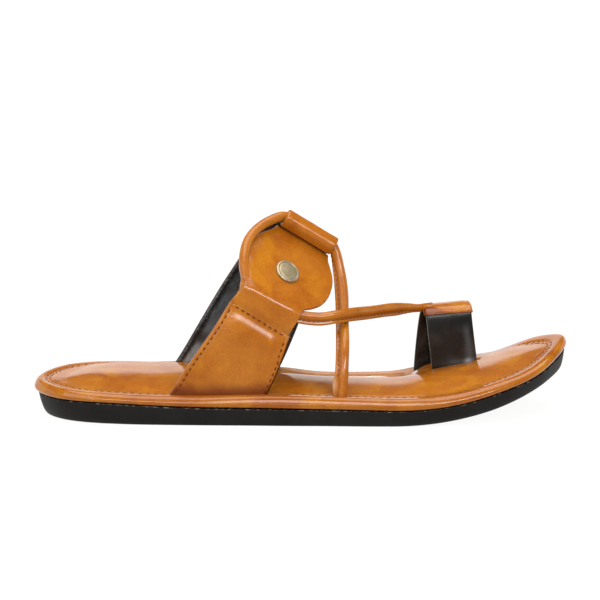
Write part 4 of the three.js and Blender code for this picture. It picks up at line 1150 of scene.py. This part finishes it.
def make_cord():
    """Rolled strap: its lip is narrow at the roll and near the sleeve, and flares at the sole."""
    knots, lips = cord_knots()
    dense = spline(knots)
    run = run_of(dense)
    knot_run = run[::SPLINE_STEPS]
    at = np.linspace(0, run[-1], CORD_STEPS)
    centre = sample(at, run, dense)
    tangent = unit(np.gradient(centre, axis=0))
    kernel = np.hanning(2 * LIP_SMOOTH + 1) / LIP_SMOOTH
    padded = np.pad(sample(at, knot_run, lips), ((LIP_SMOOTH, LIP_SMOOTH), (0, 0)), "edge")
    lip = points_of(*(np.convolve(column, kernel, "valid") for column in padded.T))
    lip = unit(lip - tangent * np.sum(lip * tangent, axis=1, keepdims=True))
    side = np.cross(tangent, lip)
    flat = fade(run[-1] - at, *CORD_FLAT)
    flare = hump(at, *CORD_FLARE)
    in_roll = hump(at, knot_run[len(CORD_FROM_SOLE)], CORD_LIP_IN_ROLL_WIDTH)
    lip_share = (1 - CORD_FLAT_LIP * flat) * (1 - CORD_LIP_IN_ROLL * in_roll) + CORD_FLARE_LIP * flare
    breath = 1 + sum(height * np.sin(at * wave + start) for height, wave, start in CORD_BREATH)
    size = (breath * (1 - CORD_FLAT_ROLL * flat))[:, None]
    out, across = cord_section().T
    on_lip = np.maximum(out - CORD_ROLL - CORD_SHIFT, 0)
    reach = (out - on_lip) * size + on_lip * lip_share[:, None]
    rings = centre[:, None] + reach[..., None] * lip[:, None] + (across * size)[..., None] * side[:, None]
    # Painted shade in the creases where the lip meets the roll
    crease_shade = np.zeros(len(out))
    crease_shade[[-2, -1, 0, CORD_ARC - 1, CORD_ARC, CORD_ARC + 1]] = CORD_CREASE_SHADE
    toe_run = knot_run[-len(CORD_TO_TOE)]
    to_toe = CORD_TOE_DARK * fade(at, toe_run, toe_run + CORD_TOE_FADE)
    shade = crease_shade - CORD_FLARE_PALE * flare[:, None] * (on_lip > 0) + to_toe[:, None]
    loft("rolled_strap_with_lip", "rolled_strap", rings, shade, [TAN])
    shown = (run[-1] - at > CORD_STITCH_ENDS) & (at > CORD_STITCH_ENDS)
    middle = centre + lip * (CORD_SHIFT + CORD_ROLL + CORD_STITCH_OUT)
    faces = [(middle + way * (CORD_LIP_HALF - CORD_STITCH_SINK), way) for way in (side, -side)]
    lines = [(line[shown], way[shown]) for line, way in faces]
    stitches("stitches_rolled_strap", THREAD_RED, lines, CORD_PITCH, CORD_DASH)


# Toe loop
LOOP_ACROSS = np.array([math.cos(LOOP_TILT), 0, math.sin(LOOP_TILT)])
LOOP_LINE = by_length(spline(TOE_LOOP), LOOP_SHARES)
LOOP_NORMALS = unit(np.cross(LOOP_ACROSS, np.gradient(LOOP_LINE, axis=0)))


def loop_place(share, across, offset):
    """Points of the toe loop by share of its length, place across the band and offset outwards."""
    share, across, offset = np.broadcast_arrays(share, across, offset)
    place = sample(share, LOOP_SHARES, LOOP_LINE) + LOOP_ACROSS * across[..., None]
    return place + sample(share, LOOP_SHARES, LOOP_NORMALS) * offset[..., None]


def band_section(reach, half, face_points, edge_points):
    """Closed section of a band: (across, outwards), from rear to front on the outer face and back."""
    turn = np.linspace(math.pi / 2, -math.pi / 2, edge_points + 2)[1:-1]
    face = np.linspace(half - reach, reach - half, face_points)
    across = np.append(face, reach - half + half * np.cos(turn))
    out = np.append(np.full(face_points, half), half * np.sin(turn))
    return np.append(across, -across), np.append(out, -out)


def make_toe_loop():
    """Black band: raw rear edge, and painted soft reflections on the front of its near leg and at that leg's
    foot.
    """
    across, out = band_section(LOOP_REACH, LOOP_HALF, *LOOP_POINTS)
    share = np.linspace(0, 1, LOOP_ROWS)[:, None]
    wave = ripple(across * LOOP_WAVES[0], share * LOOP_WAVES[1], *LOOP_UNEVEN)
    rings = loop_place(share, across, out + wave)
    edge_points = LOOP_POINTS[1]
    raw_edge = np.zeros(len(across))
    raw_edge[-edge_points:] = -LOOP_RAW * hump(np.arange(edge_points), *LOOP_RAW_EDGE)
    near_leg = (out > 0) * fade(share, *LOOP_NEAR_LEG)
    # Painted reflections: a pale strip down the front of the near leg and a pale patch at its foot
    light = LOOP_FRONT_SHEEN * hump(across, *LOOP_FRONT)
    light = light + ripple(across, share * LOOP_FRONT_WAVES, *LOOP_FRONT_UNEVEN)
    foot = LOOP_FOOT_SHEEN * hump(across, *LOOP_FOOT_FRONT)
    foot = foot + LOOP_FOOT_SIDE_SHEEN * fade(across, *LOOP_FOOT_SIDE)
    shade = raw_edge - near_leg * np.maximum(light + hump(share, *LOOP_FOOT) * foot, 0)
    loft("toe_loop_band", "toe_loop", rings, shade, [LOOP_BLACK])


def sleeve_flap(flap_hem, near_hem, across, out):
    """Rings of the flap that shows below the sleeve's rear corner: down behind the hem, and up again."""
    flap_out = out + np.sign(out) * FLAP_LIFT
    steps = np.linspace(0, 1, FLAP_ROWS)
    behind, shown = near_hem + SLEEVE_DEEP, near_hem + FLAP_FOLD + FLAP_SHOWN
    rows = [(mixed(behind, flap_hem + SLEEVE_DEEP - FLAP_BEHIND, step), out) for step in steps]
    rows.append((flap_hem, (out + flap_out) / 2))
    rows += [(mixed(flap_hem + FLAP_FOLD, shown, step), flap_out) for step in steps]
    return [loop_place(share, across, level) for share, level in rows]


def make_toe_sleeve():
    """Sleeve folded round the top of the loop: slanted hem, rear corner tucked in, a groove near its front
    end.
    """
    reach = LOOP_REACH + SLEEVE_EDGE
    across, out = band_section(reach, LOOP_HALF + SLEEVE_WALL, *SLEEVE_POINTS)
    inside = band_section(LOOP_REACH + SLEEVE_INSIDE_EDGE, LOOP_HALF + SLEEVE_INSIDE, *SLEEVE_POINTS)
    outer = out > 0
    flap_hem = SLEEVE_FROM - FLAP_DROP * fade(across, *FLAP_FADE)
    near_hem = flap_hem + NEAR_HEM_GAP + NEAR_HEM_RISE * fade(across, *NEAR_HEM_FADE) * outer
    far_hem = SLEEVE_TO - FAR_HEM_DROP * fade(across, *FAR_HEM_FADE)
    rings = sleeve_flap(flap_hem, near_hem, *inside)
    # Painted shade on the flap under the sleeve's rear corner
    marks = [np.full(len(across), FLAP_SHADE)] * len(rings)
    for begun in np.linspace(0, 1, SLEEVE_ROWS):
        rounded = 1 - HEM_ROUND * fade(min(begun, 1 - begun), *HEM_ROUND_FADE)
        tuck = fade(across, *TUCK_SIDE) * fade(begun, *TUCK_END) * outer
        hem = -HEM_DEPTH * hump(across, reach - HEM_INSET, HEM_WIDTH)
        pucker = PUCKER_DEPTH * np.sin(PUCKER_WAVES[0] * across + PUCKER_WAVES[1] * begun)
        pucker = pucker * fade(across, *PUCKER_SIDE) * hump(begun, *PUCKER_PLACE)
        full = SLEEVE_FULL * fade(np.abs(across), reach, reach - SLEEVE_FULL_EDGE) * outer
        full = full + ripple(across, begun * SLEEVE_WAVES, *SLEEVE_UNEVEN)
        level = (out + full) * rounded + (hem + pucker) * outer - TUCK_DEPTH * tuck
        rings.append(loop_place(mixed(near_hem, far_hem, begun), across, level))
        # Painted shade in the tucked rear corner
        marks.append(TUCK_SHADE * tuck)
    # Painted shade on the rows inside the far hem
    for inward in (SLEEVE_LIP, SLEEVE_DEEP):
        rings.append(loop_place(far_hem - inward, *inside))
        marks.append(np.full(len(across), FAR_HEM_SHADE))
    loft("toe_sleeve_fold", "toe_sleeve", rings, marks, [TAN])


make_outsole()
make_footbed()
make_outer_strap()
make_inner_strap()
make_keeper()
make_cord()
make_toe_loop()
make_toe_sleeve()


# Floor, light and camera
def make_floor():
    """Pale floor that glows a little, so that the shadow under the toe stays soft."""
    mesh = bpy.data.meshes.new("floor")
    corners = [(FLOOR_HALF * x, FLOOR_HALF * y, 0) for x, y in ((-1, -1), (1, -1), (1, 1), (-1, 1))]
    mesh.from_pydata(corners, [], [(0, 1, 2, 3)])
    nodes = material_nodes("pale_floor")
    colour = nodes.ramp(nodes.noise(*FLOOR_CLOUDS), FLOOR_TONES)
    mesh.materials.append(nodes.surface(colour, FLOOR_ROUGH, [], {
        "Specular IOR Level": 0, "Emission Color": FLOOR_GLOW_TONE, "Emission Strength": FLOOR_GLOW}))
    floor = bpy.data.objects.new("floor", mesh)
    floor.visible_glossy = False
    bpy.context.scene.collection.objects.link(floor)


def make_world():
    """Studio: a bright low wall behind the slipper, dim in front of it and overhead."""
    world = bpy.data.worlds.new("studio")
    bpy.context.scene.world = world
    nodes = Nodes(world)
    place = nodes.add("TexCoord", {})
    parts = nodes.add("SeparateXYZ", {"Vector": place.outputs["Generated"]})
    height = nodes.spread(parts.outputs["Z"], 0, 1, -1, 1)
    wall, front = (
        nodes.ramp(height, [((z + 1) / 2, (tone,) * 3) for z, tone in tones])
        for tones in (WALL_TONES, FRONT_TONES))
    behind = nodes.spread(parts.outputs["Y"], 0, 1, *WALL_SIDE)
    nodes.fill(nodes.tree.nodes["Background"], {"Color": nodes.mix(behind, front, wall), "Strength": 1})


def place_towards(name, data, azimuth, elevation, distance, target=(0, 0, 0)):
    """Lamp or camera that looks at a target from a distance in metres; azimuth 0 is in front."""
    a, e = math.radians(azimuth), math.radians(elevation)
    away = Vector((math.sin(a) * math.cos(e), -math.cos(a) * math.cos(e), math.sin(e)))
    placed = bpy.data.objects.new(name, data)
    placed.location = Vector(target) * MM + away * distance
    placed.rotation_euler = away.to_track_quat("Z", "Y").to_euler()
    bpy.context.scene.collection.objects.link(placed)
    return placed


def add_softbox(name, azimuth, elevation, width, height, brightness, lights_matt):
    """Far rectangular light; width and height are in degrees."""
    data = bpy.data.lights.new(name, "AREA")
    data.shape = "RECTANGLE"
    data.size = 2 * SOFTBOX_DISTANCE * math.tan(math.radians(width / 2))
    data.size_y = 2 * SOFTBOX_DISTANCE * math.tan(math.radians(height / 2))
    data.energy = SOFTBOX_POWER * data.size * data.size_y * brightness
    place_towards(name, data, azimuth, elevation, SOFTBOX_DISTANCE).visible_diffuse = lights_matt


def add_skylight():
    """Wide light from almost straight above."""
    data = bpy.data.lights.new("top_light", "SUN")
    data.angle = math.radians(SKYLIGHT_SPREAD)
    data.energy = SKYLIGHT_STRENGTH
    place_towards("top_light", data, 0, SKYLIGHT_ELEVATION, SKYLIGHT_DISTANCE)


def add_camera():
    data = bpy.data.cameras.new("photo_camera")
    data.sensor_width = CAMERA_SENSOR
    data.lens = CAMERA_SENSOR * CAMERA_DISTANCE / CAMERA_FIELD
    data.clip_end = CAMERA_SIGHT
    bpy.context.scene.camera = place_towards(
        "photo_camera", data, CAMERA_AZIMUTH, CAMERA_ELEVATION, CAMERA_DISTANCE * MM, CAMERA_TARGET)


make_floor()
make_world()
for softbox in SOFTBOXES:
    add_softbox(*softbox)
add_skylight()
add_camera()
bpy.context.scene.view_settings.view_transform = "Standard"
